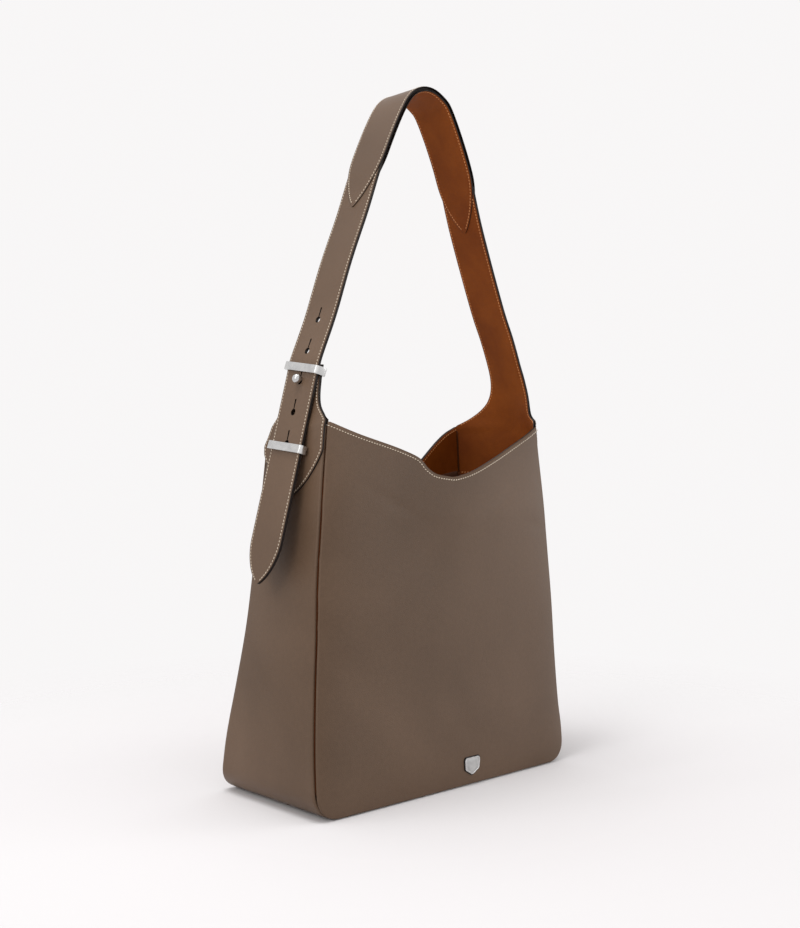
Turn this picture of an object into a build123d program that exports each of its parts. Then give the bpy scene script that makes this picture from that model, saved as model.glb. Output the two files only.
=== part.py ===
from build123d import *
from math import atan, cos, radians, sin, tan
import os

# A slouchy leather hobo bag: two panels and a wrapped gusset, a faced rim, and one long shoulder strap.
# Millimetres. +X runs along the bag's width, -Y is its front, +Z is up, z = 0 is the underside.

# Bag body
BAG_WIDTH = 320.0
BAG_DEPTH = 141.0
RIM_HEIGHT = 336.0
RIM_WIDTH = 256.0
RIM_DEPTH = 97.0
CORNER_R = 30.0
RIGHT_BULGE = 28.0
BULGE_START = 60.0

# Leather, facing, lining and stiffener thicknesses
LEATHER = 1.8
FACING = 1.2
LINING = 0.6
BOARD = 2.0
GAP = 0.15
POCKET_ROOM = 0.8
FACING_DEPTH = 46.0
BASE_SEAM_X = 128.0

# Strap
STRAP_WIDTH = 45.0
STRAP_OUTER = 1.6
STRAP_INNER = 1.4
STRAP_PLY_GAP = 0.1
SHOULDER_WIDTH = 48.0
STRAP_PIVOT_Z = 416.0
PIVOT_CLEARANCE = 0.6
KEYHOLE_PITCH = 29.4
KEYHOLE_R = 2.9
KEYHOLE_SLIT = 9.5
SLIT_WIDTH = 1.2

# The hanging tail of the strap: a straight belt end that leans out from the ring
TAIL_LEAN = 15.0
TAIL_TOP = (-123.0, 378.0)
TAIL_TIP_Z = 194.0
TAIL_POINT = 14.0

# Hardware
RING_WIDTH = 58.0
RING_HEIGHT = 8.0
RING_BAR = 3.0
RING_Z = 381.0
KEEPER_Z = 311.0
KEEPER_BAR = 2.5
STUD_Z = 371.0
STUD_BALL = 8.5
STUD_SHANK = 3.6
STUD_REACH = 3.0
STUD_CUT = 15.0
SCREW_R = 4.5
SCREW_THICK = 1.4
BADGE_WIDTH = 21.0
BADGE_HEIGHT = 19.0
BADGE_X = 18.0
BADGE_Z = 19.0
SNAP_R = 9.0
SNAP_THICK = 2.4

# Inside pockets
ZIP_LENGTH = 160.0
ZIP_SLOT = 12.0
ZIP_Z = 205.0
SLIP_WIDTH = 150.0
SLIP_HEIGHT = 110.0
SLIP_Z = 170.0

TILT = atan((BAG_DEPTH - RIM_DEPTH) / 2 / RIM_HEIGHT)
RIM_CURVE = ((-75.0, 318.0), (-24.0, 301.0), (14.0, 282.0), (55.0, 294.0), (95.0, 315.0))
LINING_AT = LEATHER + GAP + POCKET_ROOM
STRAP_THICK = STRAP_OUTER + STRAP_PLY_GAP + STRAP_INNER
STRAP_CURVE = (
    (-117.6, 393.5),
    (-103.0, 430.0),
    (-85.0, 480.0),
    (-65.5, 527.0),
    (-48.0, 573.0),
    (-25.0, 621.0),
    (12.0, 653.0),
    (45.0, 636.0),
    (68.5, 588.0),
    (88.0, 529.0),
    (117.5, 456.0),
    (145.8, 393.5),
)
SHOULDER_START = 0.255
SHOULDER_END = 0.77


def half_width(z):
    """Half of the bag's width at height z, where the panels meet the gussets."""
    return BAG_WIDTH / 2 - (BAG_WIDTH - RIM_WIDTH) / 2 * z / RIM_HEIGHT


def half_depth(z, inset):
    """Half of the room between the two tilted panels at height z, this far inside their outer faces."""
    return BAG_DEPTH / 2 - z * tan(TILT) - inset / cos(TILT)


def front_plane(inset):
    """The front panel's tilted plane, this far inside its outer face, facing out."""
    outer = Plane(origin=(0, -BAG_DEPTH / 2, 0), x_dir=(1, 0, 0), z_dir=(0, -cos(TILT), sin(TILT)))
    return outer.offset(-inset)


def back_plane(inset):
    """The back panel's tilted plane, this far inside its outer face, facing out."""
    outer = Plane(origin=(0, BAG_DEPTH / 2, 0), x_dir=(-1, 0, 0), z_dir=(0, cos(TILT), sin(TILT)))
    return outer.offset(-inset)


def panel_outline(inset, drop):
    """A panel seen square on: rounded bottom corners, tapering sides and a dipped rim."""
    top = RIM_HEIGHT - drop
    slant = 1 / cos(TILT)
    bottom = BAG_WIDTH / 2 - inset
    with BuildSketch() as outline:
        with BuildLine():
            start = (-half_width(top) + inset, top * slant)
            end = (half_width(top) - inset, top * slant)
            middle = [(x, (z - drop) * slant) for x, z in RIM_CURVE]
            Spline(start, *middle, end)
            Polyline(end, (bottom, inset), (-bottom, inset), start)
        make_face()
        fillet(outline.vertices().sort_by(Axis.Y)[:2], CORNER_R - inset)
    return outline.sketch


def facing_outline():
    """The band of facing that follows a panel's rim."""
    with BuildSketch() as outline:
        add(panel_outline(LEATHER + GAP, 0))
        add(panel_outline(LEATHER + GAP - 1, FACING_DEPTH), mode=Mode.SUBTRACT)
    return outline.sketch


def body_section(inset, top):
    """The bag's section across its width, with a flat top."""
    side = BAG_WIDTH / 2 - inset
    with BuildSketch() as section:
        with BuildLine():
            Polyline(
                (-half_width(top) + inset, top),
                (-side, inset),
                (side, inset),
                (half_width(top) - inset, top),
                close=True,
            )
        make_face()
        fillet(section.vertices().sort_by(Axis.Y)[:2], CORNER_R - inset)
    return section.sketch


def corner_band(inset, thickness, top, side):
    """One side wall with its rounded bottom corner, as a band in the XZ plane. side is -1 or 1."""
    half = BAG_WIDTH / 2
    with BuildSketch() as band:
        add(body_section(inset, top))
        add(body_section(inset + thickness, top + CORNER_R), mode=Mode.SUBTRACT)
        with Locations((side * half / 2, half)):
            Rectangle(half, 6 * half, mode=Mode.INTERSECT)
        with Locations((side * (BASE_SEAM_X + GAP) / 2, 0)):
            Rectangle(BASE_SEAM_X + GAP, 2 * CORNER_R, mode=Mode.SUBTRACT)
    return band.sketch


def bowed_section(edge_x, bow, half_y, thickness):
    """A plan section of a wall that bows out to +X between its two edges."""
    with BuildSketch() as section:
        with BuildLine():
            outer = ThreePointArc((edge_x, -half_y), (edge_x + bow, 0), (edge_x, half_y))
            inner_x = edge_x - thickness
            inner = ThreePointArc((inner_x, half_y), (inner_x + bow, 0), (inner_x, -half_y))
            Line(outer @ 1, inner @ 0)
            Line(inner @ 1, outer @ 0)
        make_face()
    return section.sketch


def right_bow(z):
    """How far the right gusset bows out at height z."""
    rise = (z - BULGE_START) / (RIM_HEIGHT - BULGE_START)
    return 0.6 + (RIGHT_BULGE - 0.6) * rise**1.6


def keyhole():
    """A round hole with a slit above it, for the ball stud."""
    with BuildSketch() as hole:
        Circle(KEYHOLE_R)
        with Locations((0, KEYHOLE_R + KEYHOLE_SLIT / 2 - 0.5)):
            Rectangle(SLIT_WIDTH, KEYHOLE_SLIT + 1)
    return hole.sketch


os.makedirs("parts", exist_ok=True)


# ---- Outer shell ----

with BuildPart() as front_panel:
    with BuildSketch(front_plane(0)):
        add(panel_outline(0, 0))
    extrude(amount=-LEATHER)
front_panel.part.label = "front_panel"
export_step(front_panel.part, "parts/front_panel.step")

with BuildPart() as back_panel:
    mirror(front_panel.part, about=Plane.XZ)
back_panel.part.label = "back_panel"
export_step(back_panel.part, "parts/back_panel.step")


with BuildPart() as gusset_left:
    with BuildSketch(Plane.XZ):
        add(corner_band(0, LEATHER, RIM_HEIGHT, -1))
    extrude(amount=BAG_DEPTH, both=True)
    split(bisect_by=front_plane(LEATHER), keep=Keep.BOTTOM)
    split(bisect_by=back_plane(LEATHER), keep=Keep.BOTTOM)
gusset_left.part.label = "gusset_left"
export_step(gusset_left.part, "parts/gusset_left.step")

BOW_HEIGHTS = (BULGE_START, 130.0, 200.0, 270.0, RIM_HEIGHT)

with BuildPart() as gusset_right:
    with BuildSketch(Plane.XZ):
        add(corner_band(0, LEATHER, BULGE_START, 1))
    extrude(amount=BAG_DEPTH, both=True)
    split(bisect_by=front_plane(LEATHER), keep=Keep.BOTTOM)
    split(bisect_by=back_plane(LEATHER), keep=Keep.BOTTOM)
    for height in BOW_HEIGHTS:
        with BuildSketch(Plane.XY.offset(height)):
            depth = half_depth(height, LEATHER + 0.05)
            add(bowed_section(half_width(height), right_bow(height), depth, LEATHER))
    loft(ruled=True)
gusset_right.part.label = "gusset_right"
export_step(gusset_right.part, "parts/gusset_right.step")

with BuildPart() as base_panel:
    with BuildSketch(Plane.XY):
        Rectangle(2 * BASE_SEAM_X, BAG_DEPTH)
    extrude(amount=LEATHER)
    split(bisect_by=front_plane(LEATHER), keep=Keep.BOTTOM)
    split(bisect_by=back_plane(LEATHER), keep=Keep.BOTTOM)
base_panel.part.label = "base_panel"
export_step(base_panel.part, "parts/base_panel.step")

# ---- Stiffener and lining ----

BOARD_Z = LEATHER + GAP
BASE_LINING_Z = BOARD_Z + BOARD + GAP
INNER_SKIN = LINING_AT + LINING + GAP
BOARD_LENGTH = 2 * BASE_SEAM_X - 4
BOARD_DEPTH = 2 * half_depth(BASE_LINING_Z + LINING, INNER_SKIN) - 1

with BuildPart() as base_board:
    with BuildSketch(Plane.XY.offset(BOARD_Z)):
        RectangleRounded(BOARD_LENGTH, BOARD_DEPTH, 4)
    extrude(amount=BOARD)
base_board.part.label = "base_board"
export_step(base_board.part, "parts/base_board.step")

with BuildPart() as base_lining:
    with BuildSketch(Plane.XY.offset(BASE_LINING_Z)):
        RectangleRounded(BOARD_LENGTH, BOARD_DEPTH, 4)
    extrude(amount=LINING)
base_lining.part.label = "base_lining"
export_step(base_lining.part, "parts/base_lining.step")

with BuildPart() as facing_front:
    with BuildSketch(front_plane(LEATHER + GAP)):
        add(facing_outline())
    extrude(amount=-FACING)
facing_front.part.label = "facing_front"
export_step(facing_front.part, "parts/facing_front.step")

with BuildPart() as facing_back:
    mirror(facing_front.part, about=Plane.XZ)
facing_back.part.label = "facing_back"
export_step(facing_back.part, "parts/facing_back.step")

with BuildPart() as lining_front:
    with BuildSketch(front_plane(LINING_AT)):
        add(panel_outline(LINING_AT, FACING_DEPTH + 8 * GAP))
    extrude(amount=-LINING)
lining_front.part.label = "lining_front"
export_step(lining_front.part, "parts/lining_front.step")

ZIP_SLOT_PLACE = ZIP_Z / cos(TILT)

with BuildPart() as lining_back:
    mirror(lining_front.part, about=Plane.XZ)
    with BuildSketch(back_plane(LINING_AT)):
        with Locations((0, ZIP_SLOT_PLACE)):
            RectangleRounded(ZIP_LENGTH, ZIP_SLOT, 2)
    extrude(amount=-LINING, mode=Mode.SUBTRACT)
lining_back.part.label = "lining_back"
export_step(lining_back.part, "parts/lining_back.step")

FACING_BOTTOM = RIM_HEIGHT - FACING_DEPTH
FACING_AT = LEATHER + GAP
FACING_SKIN = FACING_AT + FACING + GAP

with BuildPart() as facing_left:
    with BuildSketch(Plane.XZ):
        add(corner_band(FACING_AT, FACING, RIM_HEIGHT, -1))
        with Locations((0, FACING_BOTTOM / 2)):
            Rectangle(2 * BAG_WIDTH, FACING_BOTTOM, mode=Mode.SUBTRACT)
    extrude(amount=BAG_DEPTH, both=True)
    split(bisect_by=front_plane(FACING_SKIN), keep=Keep.BOTTOM)
    split(bisect_by=back_plane(FACING_SKIN), keep=Keep.BOTTOM)
facing_left.part.label = "facing_left"
export_step(facing_left.part, "parts/facing_left.step")

with BuildPart() as facing_right:
    for height in (FACING_BOTTOM, RIM_HEIGHT):
        with BuildSketch(Plane.XY.offset(height)):
            edge_x = half_width(height) - FACING_AT
            add(bowed_section(edge_x, right_bow(height), half_depth(height, FACING_SKIN), FACING))
    loft(ruled=True)
facing_right.part.label = "facing_right"
export_step(facing_right.part, "parts/facing_right.step")

LINING_TOP = FACING_BOTTOM - GAP

with BuildPart() as lining_left:
    with BuildSketch(Plane.XZ):
        add(corner_band(LINING_AT, LINING, LINING_TOP, -1))
    extrude(amount=BAG_DEPTH, both=True)
    split(bisect_by=front_plane(INNER_SKIN), keep=Keep.BOTTOM)
    split(bisect_by=back_plane(INNER_SKIN), keep=Keep.BOTTOM)
lining_left.part.label = "lining_left"
export_step(lining_left.part, "parts/lining_left.step")

with BuildPart() as lining_right:
    with BuildSketch(Plane.XZ):
        add(corner_band(LINING_AT, LINING, BULGE_START, 1))
    extrude(amount=BAG_DEPTH, both=True)
    split(bisect_by=front_plane(INNER_SKIN), keep=Keep.BOTTOM)
    split(bisect_by=back_plane(INNER_SKIN), keep=Keep.BOTTOM)
    for height in BOW_HEIGHTS[:-1] + (LINING_TOP,):
        with BuildSketch(Plane.XY.offset(height)):
            edge_x = half_width(height) - LINING_AT
            add(bowed_section(edge_x, right_bow(height), half_depth(height, INNER_SKIN + 0.05), LINING))
    loft(ruled=True)
lining_right.part.label = "lining_right"
export_step(lining_right.part, "parts/lining_right.step")

# ---- Necks: the gussets' tops, narrowing into the strap ----

ROOT_TOP_Z = STRAP_PIVOT_Z - STRAP_WIDTH / 2 - PIVOT_CLEARANCE
TAIL_SLOPE = tan(radians(TAIL_LEAN))
NECK_PLY = STRAP_THICK + 0.3
TAB_POINT_Z = 269.0


def tail_x(z):
    """X of the tail's outer face at height z."""
    return TAIL_TOP[0] - (TAIL_TOP[1] - z) * TAIL_SLOPE


LEFT_NECK_PATH = (
    (-half_width(TAB_POINT_Z) - LEATHER - GAP, TAB_POINT_Z),
    (-RIM_WIDTH / 2 - LEATHER - GAP, RIM_HEIGHT + GAP),
    (tail_x(RING_Z) + NECK_PLY, RING_Z),
    (tail_x(ROOT_TOP_Z) + NECK_PLY, ROOT_TOP_Z),
)


def left_neck_profile(path, depth, thickness):
    """One ply of the left neck seen from the front, this far inside its outer face."""
    with BuildSketch() as profile:
        with BuildLine():
            near = [(x + depth, z) for x, z in path]
            far = [(x + depth + thickness, z) for x, z in path]
            Polyline(*near, *reversed(far), close=True)
        make_face()
    return profile.sketch


def neck_outline():
    """The left neck and its shield-shaped tab seen from the side, from its point to the strap's width."""
    half = STRAP_WIDTH / 2
    rim_half = half_depth(RIM_HEIGHT, LEATHER) - 1
    point = (1.0, TAB_POINT_Z)
    with BuildSketch() as outline:
        with BuildLine():
            tab = Spline(point, (22.0, 286.0), (33.0, 302.0), (43.0, 320.0), (rim_half, RIM_HEIGHT - 2))
            neck = Spline(tab @ 1, (34.0, 349.0), (half + 4, 364.0), (half, RING_Z - 5))
            Polyline(neck @ 1, (half, ROOT_TOP_Z), (0, ROOT_TOP_Z), (0, TAB_POINT_Z), point)
        make_face()
        mirror(about=Plane.YZ)
    return outline.sketch


tail_dir = (sin(radians(TAIL_LEAN)), 0, cos(radians(TAIL_LEAN)))
tail_out = (-cos(radians(TAIL_LEAN)), 0, sin(radians(TAIL_LEAN)))
tail_plane = Plane(origin=(TAIL_TOP[0], 0, TAIL_TOP[1]), x_dir=(0, -1, 0), z_dir=tail_out)
stud_place = (STUD_Z - TAIL_TOP[1]) / cos(radians(TAIL_LEAN))
with BuildPart() as neck_left_outer:
    with BuildSketch(Plane.XZ):
        add(left_neck_profile(LEFT_NECK_PATH, 0, LEATHER))
    extrude(amount=BAG_DEPTH, both=True)
    with BuildSketch(Plane.YZ):
        add(neck_outline())
    extrude(amount=BAG_WIDTH, both=True, mode=Mode.INTERSECT)
    with BuildSketch(tail_plane):
        with Locations((0, stud_place)):
            Circle(STUD_SHANK / 2 + 0.05)
    extrude(amount=-STUD_CUT, mode=Mode.SUBTRACT)
neck_left_outer.part.label = "neck_left_outer"
export_step(neck_left_outer.part, "parts/neck_left_outer.step")

with BuildPart() as neck_left_inner:
    with BuildSketch(Plane.XZ):
        add(left_neck_profile(LEFT_NECK_PATH[1:], LEATHER + GAP, FACING))
    extrude(amount=BAG_DEPTH, both=True)
    with BuildSketch(Plane.YZ):
        add(neck_outline())
    extrude(amount=BAG_WIDTH, both=True, mode=Mode.INTERSECT)
    with BuildSketch(tail_plane):
        with Locations((0, stud_place)):
            Circle(STUD_SHANK / 2 + 0.05)
    extrude(amount=-STUD_CUT, mode=Mode.SUBTRACT)
neck_left_inner.part.label = "neck_left_inner"
export_step(neck_left_inner.part, "parts/neck_left_inner.step")

strap_foot = STRAP_CURVE[-1]
RIGHT_NECK = (
    (RIM_HEIGHT + GAP, RIM_WIDTH / 2, RIGHT_BULGE, half_depth(RIM_HEIGHT, LEATHER) - 0.5),
    (352.0, 141.5, 16.0, 34.0),
    (370.0, 149.5, 5.0, 25.0),
    (ROOT_TOP_Z, strap_foot[0] - 0.6, 0.8, STRAP_WIDTH / 2),
)

with BuildPart() as neck_right_outer:
    for height, edge_x, bow, half_y in RIGHT_NECK:
        with BuildSketch(Plane.XY.offset(height)):
            add(bowed_section(edge_x, bow, half_y, LEATHER))
    loft(ruled=True)
neck_right_outer.part.label = "neck_right_outer"
export_step(neck_right_outer.part, "parts/neck_right_outer.step")

with BuildPart() as neck_right_inner:
    for height, edge_x, bow, half_y in RIGHT_NECK:
        with BuildSketch(Plane.XY.offset(height)):
            add(bowed_section(edge_x - LEATHER - GAP, bow, half_y - 1, FACING))
    loft(ruled=True)
neck_right_inner.part.label = "neck_right_inner"
export_step(neck_right_inner.part, "parts/neck_right_inner.step")

# ---- Strap tail with its keyholes ----

TAIL_UP = (ROOT_TOP_Z - TAIL_TOP[1]) / cos(radians(TAIL_LEAN))
TAIL_DOWN = (TAIL_TIP_Z - TAIL_TOP[1]) / cos(radians(TAIL_LEAN))


def tail_outline():
    """The strap's straight end, coming to a blunt point, with its three lowest keyholes."""
    half = STRAP_WIDTH / 2
    shoulder = TAIL_DOWN + TAIL_POINT
    with BuildSketch() as outline:
        with BuildLine():
            ThreePointArc((-half, shoulder), (-half * 0.62, TAIL_DOWN + TAIL_POINT * 0.3), (0, TAIL_DOWN))
            ThreePointArc((0, TAIL_DOWN), (half * 0.62, TAIL_DOWN + TAIL_POINT * 0.3), (half, shoulder))
            Polyline((half, shoulder), (half, TAIL_UP), (-half, TAIL_UP), (-half, shoulder))
        make_face()
        with Locations(*[(0, stud_place - KEYHOLE_PITCH * step) for step in range(3)]):
            add(keyhole(), mode=Mode.SUBTRACT)
    return outline.sketch


with BuildPart() as strap_tail_outer:
    with BuildSketch(tail_plane):
        add(tail_outline())
    extrude(amount=-STRAP_OUTER)
strap_tail_outer.part.label = "strap_tail_outer"
export_step(strap_tail_outer.part, "parts/strap_tail_outer.step")

with BuildPart() as strap_tail_inner:
    with BuildSketch(tail_plane.offset(-STRAP_OUTER - STRAP_PLY_GAP)):
        add(tail_outline())
    extrude(amount=-STRAP_INNER)
strap_tail_inner.part.label = "strap_tail_inner"
export_step(strap_tail_inner.part, "parts/strap_tail_inner.step")

# ---- Swinging strap: two legs and the shoulder piece ----

with BuildLine() as strap_line:
    Spline(*STRAP_CURVE)
strap_path = strap_line.edges()[0]
PATH_STEPS = 10


def strap_row(start, end, depth):
    """Points along the strap at this depth inside its outer face."""
    row = []
    for step in range(PATH_STEPS + 1):
        share = start + (end - start) * step / PATH_STEPS
        along = strap_path % share
        row.append(strap_path @ share + Vector(along.Y, -along.X) * depth)
    return row


def strap_profile(start, end, depth, thickness):
    """One ply of the strap between two shares of its length, seen from the front."""
    with BuildSketch() as profile:
        with BuildLine():
            near = Spline(*strap_row(start, end, depth))
            far = Spline(*strap_row(start, end, depth + thickness))
            Line(near @ 0, far @ 0)
            Line(near @ 1, far @ 1)
        make_face()
    return profile.sketch


def leg_outline():
    """A leg seen from the side, with a round end about the pivot."""
    height = 300.0
    with BuildSketch() as outline:
        with Locations((0, STRAP_PIVOT_Z)):
            Circle(STRAP_WIDTH / 2)
        with Locations((0, STRAP_PIVOT_Z + height / 2)):
            Rectangle(STRAP_WIDTH, height)
    return outline.sketch


def path_plane(share):
    """A plane on the strap's outer face, its Y up the strap's left leg."""
    place = strap_path @ share
    along = strap_path % share
    return Plane(origin=(place.X, 0, place.Y), x_dir=(0, -1, 0), z_dir=(-along.Y, 0, along.X))


UPPER_KEYHOLES = (0.0215, 0.0635)
INNER_PLY_AT = STRAP_OUTER + STRAP_PLY_GAP

with BuildPart() as strap_left_outer:
    with BuildSketch(Plane.XZ):
        add(strap_profile(0, SHOULDER_START - 0.001, 0, STRAP_OUTER))
    extrude(amount=STRAP_WIDTH, both=True)
    with BuildSketch(Plane.YZ):
        add(leg_outline())
    extrude(amount=BAG_WIDTH, both=True, mode=Mode.INTERSECT)
    with BuildSketch(*[path_plane(share) for share in UPPER_KEYHOLES]):
        add(keyhole())
    extrude(amount=6, both=True, mode=Mode.SUBTRACT)
strap_left_outer.part.label = "strap_left_outer"
export_step(strap_left_outer.part, "parts/strap_left_outer.step")

with BuildPart() as strap_left_inner:
    with BuildSketch(Plane.XZ):
        add(strap_profile(0, SHOULDER_START - 0.001, INNER_PLY_AT, STRAP_INNER))
    extrude(amount=STRAP_WIDTH, both=True)
    with BuildSketch(Plane.YZ):
        add(leg_outline())
    extrude(amount=BAG_WIDTH, both=True, mode=Mode.INTERSECT)
    with BuildSketch(*[path_plane(share) for share in UPPER_KEYHOLES]):
        add(keyhole())
    extrude(amount=6, both=True, mode=Mode.SUBTRACT)
strap_left_inner.part.label = "strap_left_inner"
export_step(strap_left_inner.part, "parts/strap_left_inner.step")

with BuildPart() as strap_right_outer:
    with BuildSketch(Plane.XZ):
        add(strap_profile(SHOULDER_END + 0.001, 1, 0, STRAP_OUTER))
    extrude(amount=STRAP_WIDTH, both=True)
    with BuildSketch(Plane.YZ):
        add(leg_outline())
    extrude(amount=BAG_WIDTH, both=True, mode=Mode.INTERSECT)
strap_right_outer.part.label = "strap_right_outer"
export_step(strap_right_outer.part, "parts/strap_right_outer.step")

with BuildPart() as strap_right_inner:
    with BuildSketch(Plane.XZ):
        add(strap_profile(SHOULDER_END + 0.001, 1, INNER_PLY_AT, STRAP_INNER))
    extrude(amount=STRAP_WIDTH, both=True)
    with BuildSketch(Plane.YZ):
        add(leg_outline())
    extrude(amount=BAG_WIDTH, both=True, mode=Mode.INTERSECT)
strap_right_inner.part.label = "strap_right_inner"
export_step(strap_right_inner.part, "parts/strap_right_inner.step")

with BuildPart() as shoulder_outer:
    with BuildSketch(Plane.XZ):
        add(strap_profile(SHOULDER_START, SHOULDER_END, 0, STRAP_OUTER))
    extrude(amount=SHOULDER_WIDTH / 2, both=True)
shoulder_outer.part.label = "shoulder_outer"
export_step(shoulder_outer.part, "parts/shoulder_outer.step")

with BuildPart() as shoulder_inner:
    with BuildSketch(Plane.XZ):
        add(strap_profile(SHOULDER_START, SHOULDER_END, INNER_PLY_AT, STRAP_INNER))
    extrude(amount=SHOULDER_WIDTH / 2, both=True)
shoulder_inner.part.label = "shoulder_inner"
export_step(shoulder_inner.part, "parts/shoulder_inner.step")

# ---- Strap hardware ----

RING_PLY_GAP = 0.35
NECK_THICK = LEATHER + GAP + FACING
ring_x_out = tail_x(RING_Z)
ring_x_in = ring_x_out + NECK_PLY + NECK_THICK
RING_ROOM = (ring_x_in - ring_x_out) * cos(radians(TAIL_LEAN)) + 2 * RING_PLY_GAP
STRAP_ROOM = STRAP_WIDTH + 1.6


def keeper_frame(room, bar):
    """A flat rectangular keeper seen along the strap."""
    with BuildSketch() as frame:
        RectangleRounded(room + 2 * bar, RING_WIDTH, 1.2)
        RectangleRounded(room, STRAP_ROOM, 0.8, mode=Mode.SUBTRACT)
    return frame.sketch


def along_tail(x, z):
    """A plane square to the tail, its Z up the tail."""
    return Plane(origin=(x, 0, z), x_dir=tail_out, z_dir=tail_dir)


with BuildPart() as upper_ring:
    with BuildSketch(along_tail((ring_x_out + ring_x_in) / 2, RING_Z)):
        add(keeper_frame(RING_ROOM, RING_BAR))
    extrude(amount=RING_HEIGHT / 2, both=True)
    chamfer(upper_ring.edges().group_by(SortBy.LENGTH)[-1], 0.8)
upper_ring.part.label = "upper_ring"
export_step(upper_ring.part, "parts/upper_ring.step")

keeper_x = tail_x(KEEPER_Z) + STRAP_THICK / cos(radians(TAIL_LEAN)) / 2
KEEPER_ROOM = STRAP_THICK + 2 * RING_PLY_GAP

with BuildPart() as lower_keeper:
    with BuildSketch(along_tail(keeper_x, KEEPER_Z)):
        add(keeper_frame(KEEPER_ROOM, KEEPER_BAR))
    extrude(amount=RING_HEIGHT / 2, both=True)
lower_keeper.part.label = "lower_keeper"
export_step(lower_keeper.part, "parts/lower_keeper.step")

KEEPER_POST_R = 2.5
keeper_back = KEEPER_ROOM / 2 + KEEPER_BAR
keeper_plane = Plane(origin=(keeper_x, 0, KEEPER_Z), x_dir=(0, -1, 0), z_dir=tail_out).offset(-keeper_back)

with BuildPart() as keeper_post:
    with BuildSketch(keeper_plane):
        Circle(KEEPER_POST_R)
    extrude(amount=-12)
    with BuildSketch(Plane.XZ):
        add(body_section(-LEATHER - 2 * GAP, RIM_HEIGHT))
    extrude(amount=BAG_DEPTH, both=True, mode=Mode.SUBTRACT)
keeper_post.part.label = "keeper_post"
export_step(keeper_post.part, "parts/keeper_post.step")

neck_back = (NECK_PLY + NECK_THICK) * cos(radians(TAIL_LEAN)) + 0.6
with BuildPart() as strap_stud:
    with BuildSketch(tail_plane.offset(-neck_back)):
        with Locations((0, stud_place)):
            Circle(STUD_SHANK / 2)
    extrude(amount=neck_back + STUD_REACH)
    with Locations(tail_plane.from_local_coords((0, stud_place, STUD_REACH + STUD_BALL * 0.35))):
        Sphere(STUD_BALL / 2)
strap_stud.part.label = "strap_stud"
export_step(strap_stud.part, "parts/strap_stud.step")

with BuildPart() as stud_screw:
    with BuildSketch(tail_plane.offset(-neck_back)):
        with Locations((0, stud_place)):
            Circle(SCREW_R)
    extrude(amount=-SCREW_THICK)
stud_screw.part.label = "stud_screw"
export_step(stud_screw.part, "parts/stud_screw.step")

# ---- Badge and magnetic snap ----


def shield(width, height):
    """A plain shield: flat top, full sides and a pointed foot."""
    half = width / 2
    with BuildSketch() as face:
        with BuildLine():
            Polyline((0, height / 2), (half, height / 2), (half, 0))
            ThreePointArc((half, 0), (half * 0.72, -height * 0.28), (0, -height / 2))
            Line((0, -height / 2), (0, height / 2))
        make_face()
        mirror(about=Plane.YZ)
    return face.sketch


BADGE_PLATE = 1.0
BADGE_FACE = 1.2
BADGE_LIP = 1.5
badge_place = BADGE_Z / cos(TILT)

with BuildPart() as badge_plate:
    with BuildSketch(front_plane(0)):
        with Locations((BADGE_X, badge_place)):
            add(shield(BADGE_WIDTH, BADGE_HEIGHT))
    extrude(amount=BADGE_PLATE)
badge_plate.part.label = "badge_plate"
export_step(badge_plate.part, "parts/badge_plate.step")

with BuildPart() as badge_face:
    with BuildSketch(front_plane(-BADGE_PLATE)):
        with Locations((BADGE_X, badge_place)):
            add(shield(BADGE_WIDTH - BADGE_LIP, BADGE_HEIGHT - BADGE_LIP))
    extrude(amount=BADGE_FACE)
badge_face.part.label = "badge_face"
export_step(badge_face.part, "parts/badge_face.step")

SNAP_DROP = 22.0
SNAP_X = 8.0
SNAP_PIN_R = 3.0
SNAP_PIN = 1.6
snap_place = (RIM_CURVE[2][1] - SNAP_DROP) / cos(TILT)

with BuildPart() as snap_socket:
    with BuildSketch(front_plane(FACING_SKIN)):
        with Locations((SNAP_X, snap_place)):
            Circle(SNAP_R)
            Circle(SNAP_PIN_R + 0.4, mode=Mode.SUBTRACT)
    extrude(amount=-SNAP_THICK)
snap_socket.part.label = "snap_socket"
export_step(snap_socket.part, "parts/snap_socket.step")

with BuildPart() as snap_stud:
    with BuildSketch(back_plane(FACING_SKIN)):
        with Locations((-SNAP_X, snap_place)):
            Circle(SNAP_R)
    extrude(amount=-SNAP_THICK / 2)
    with BuildSketch(back_plane(FACING_SKIN + SNAP_THICK / 2)):
        with Locations((-SNAP_X, snap_place)):
            Circle(SNAP_PIN_R)
    extrude(amount=-SNAP_PIN)
snap_stud.part.label = "snap_stud"
export_step(snap_stud.part, "parts/snap_stud.step")

# ---- Zip pocket on the back lining, slip pocket on the front lining ----

ZIP_FRAME_WIDTH = 6.0
ZIP_FRAME_THICK = 1.0
ZIP_TAPE_THICK = 0.5
ZIP_TEETH_WIDTH = 4.0
ZIP_TEETH_THICK = 1.2
inner_face = LINING_AT + LINING

with BuildPart() as zip_frame:
    with BuildSketch(back_plane(inner_face + 0.05)):
        with Locations((0, ZIP_SLOT_PLACE)):
            RectangleRounded(ZIP_LENGTH + 2 * ZIP_FRAME_WIDTH, ZIP_SLOT + 2 * ZIP_FRAME_WIDTH, 3)
            RectangleRounded(ZIP_LENGTH, ZIP_SLOT, 2, mode=Mode.SUBTRACT)
    extrude(amount=-ZIP_FRAME_THICK)
zip_frame.part.label = "zip_frame"
export_step(zip_frame.part, "parts/zip_frame.step")

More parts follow.
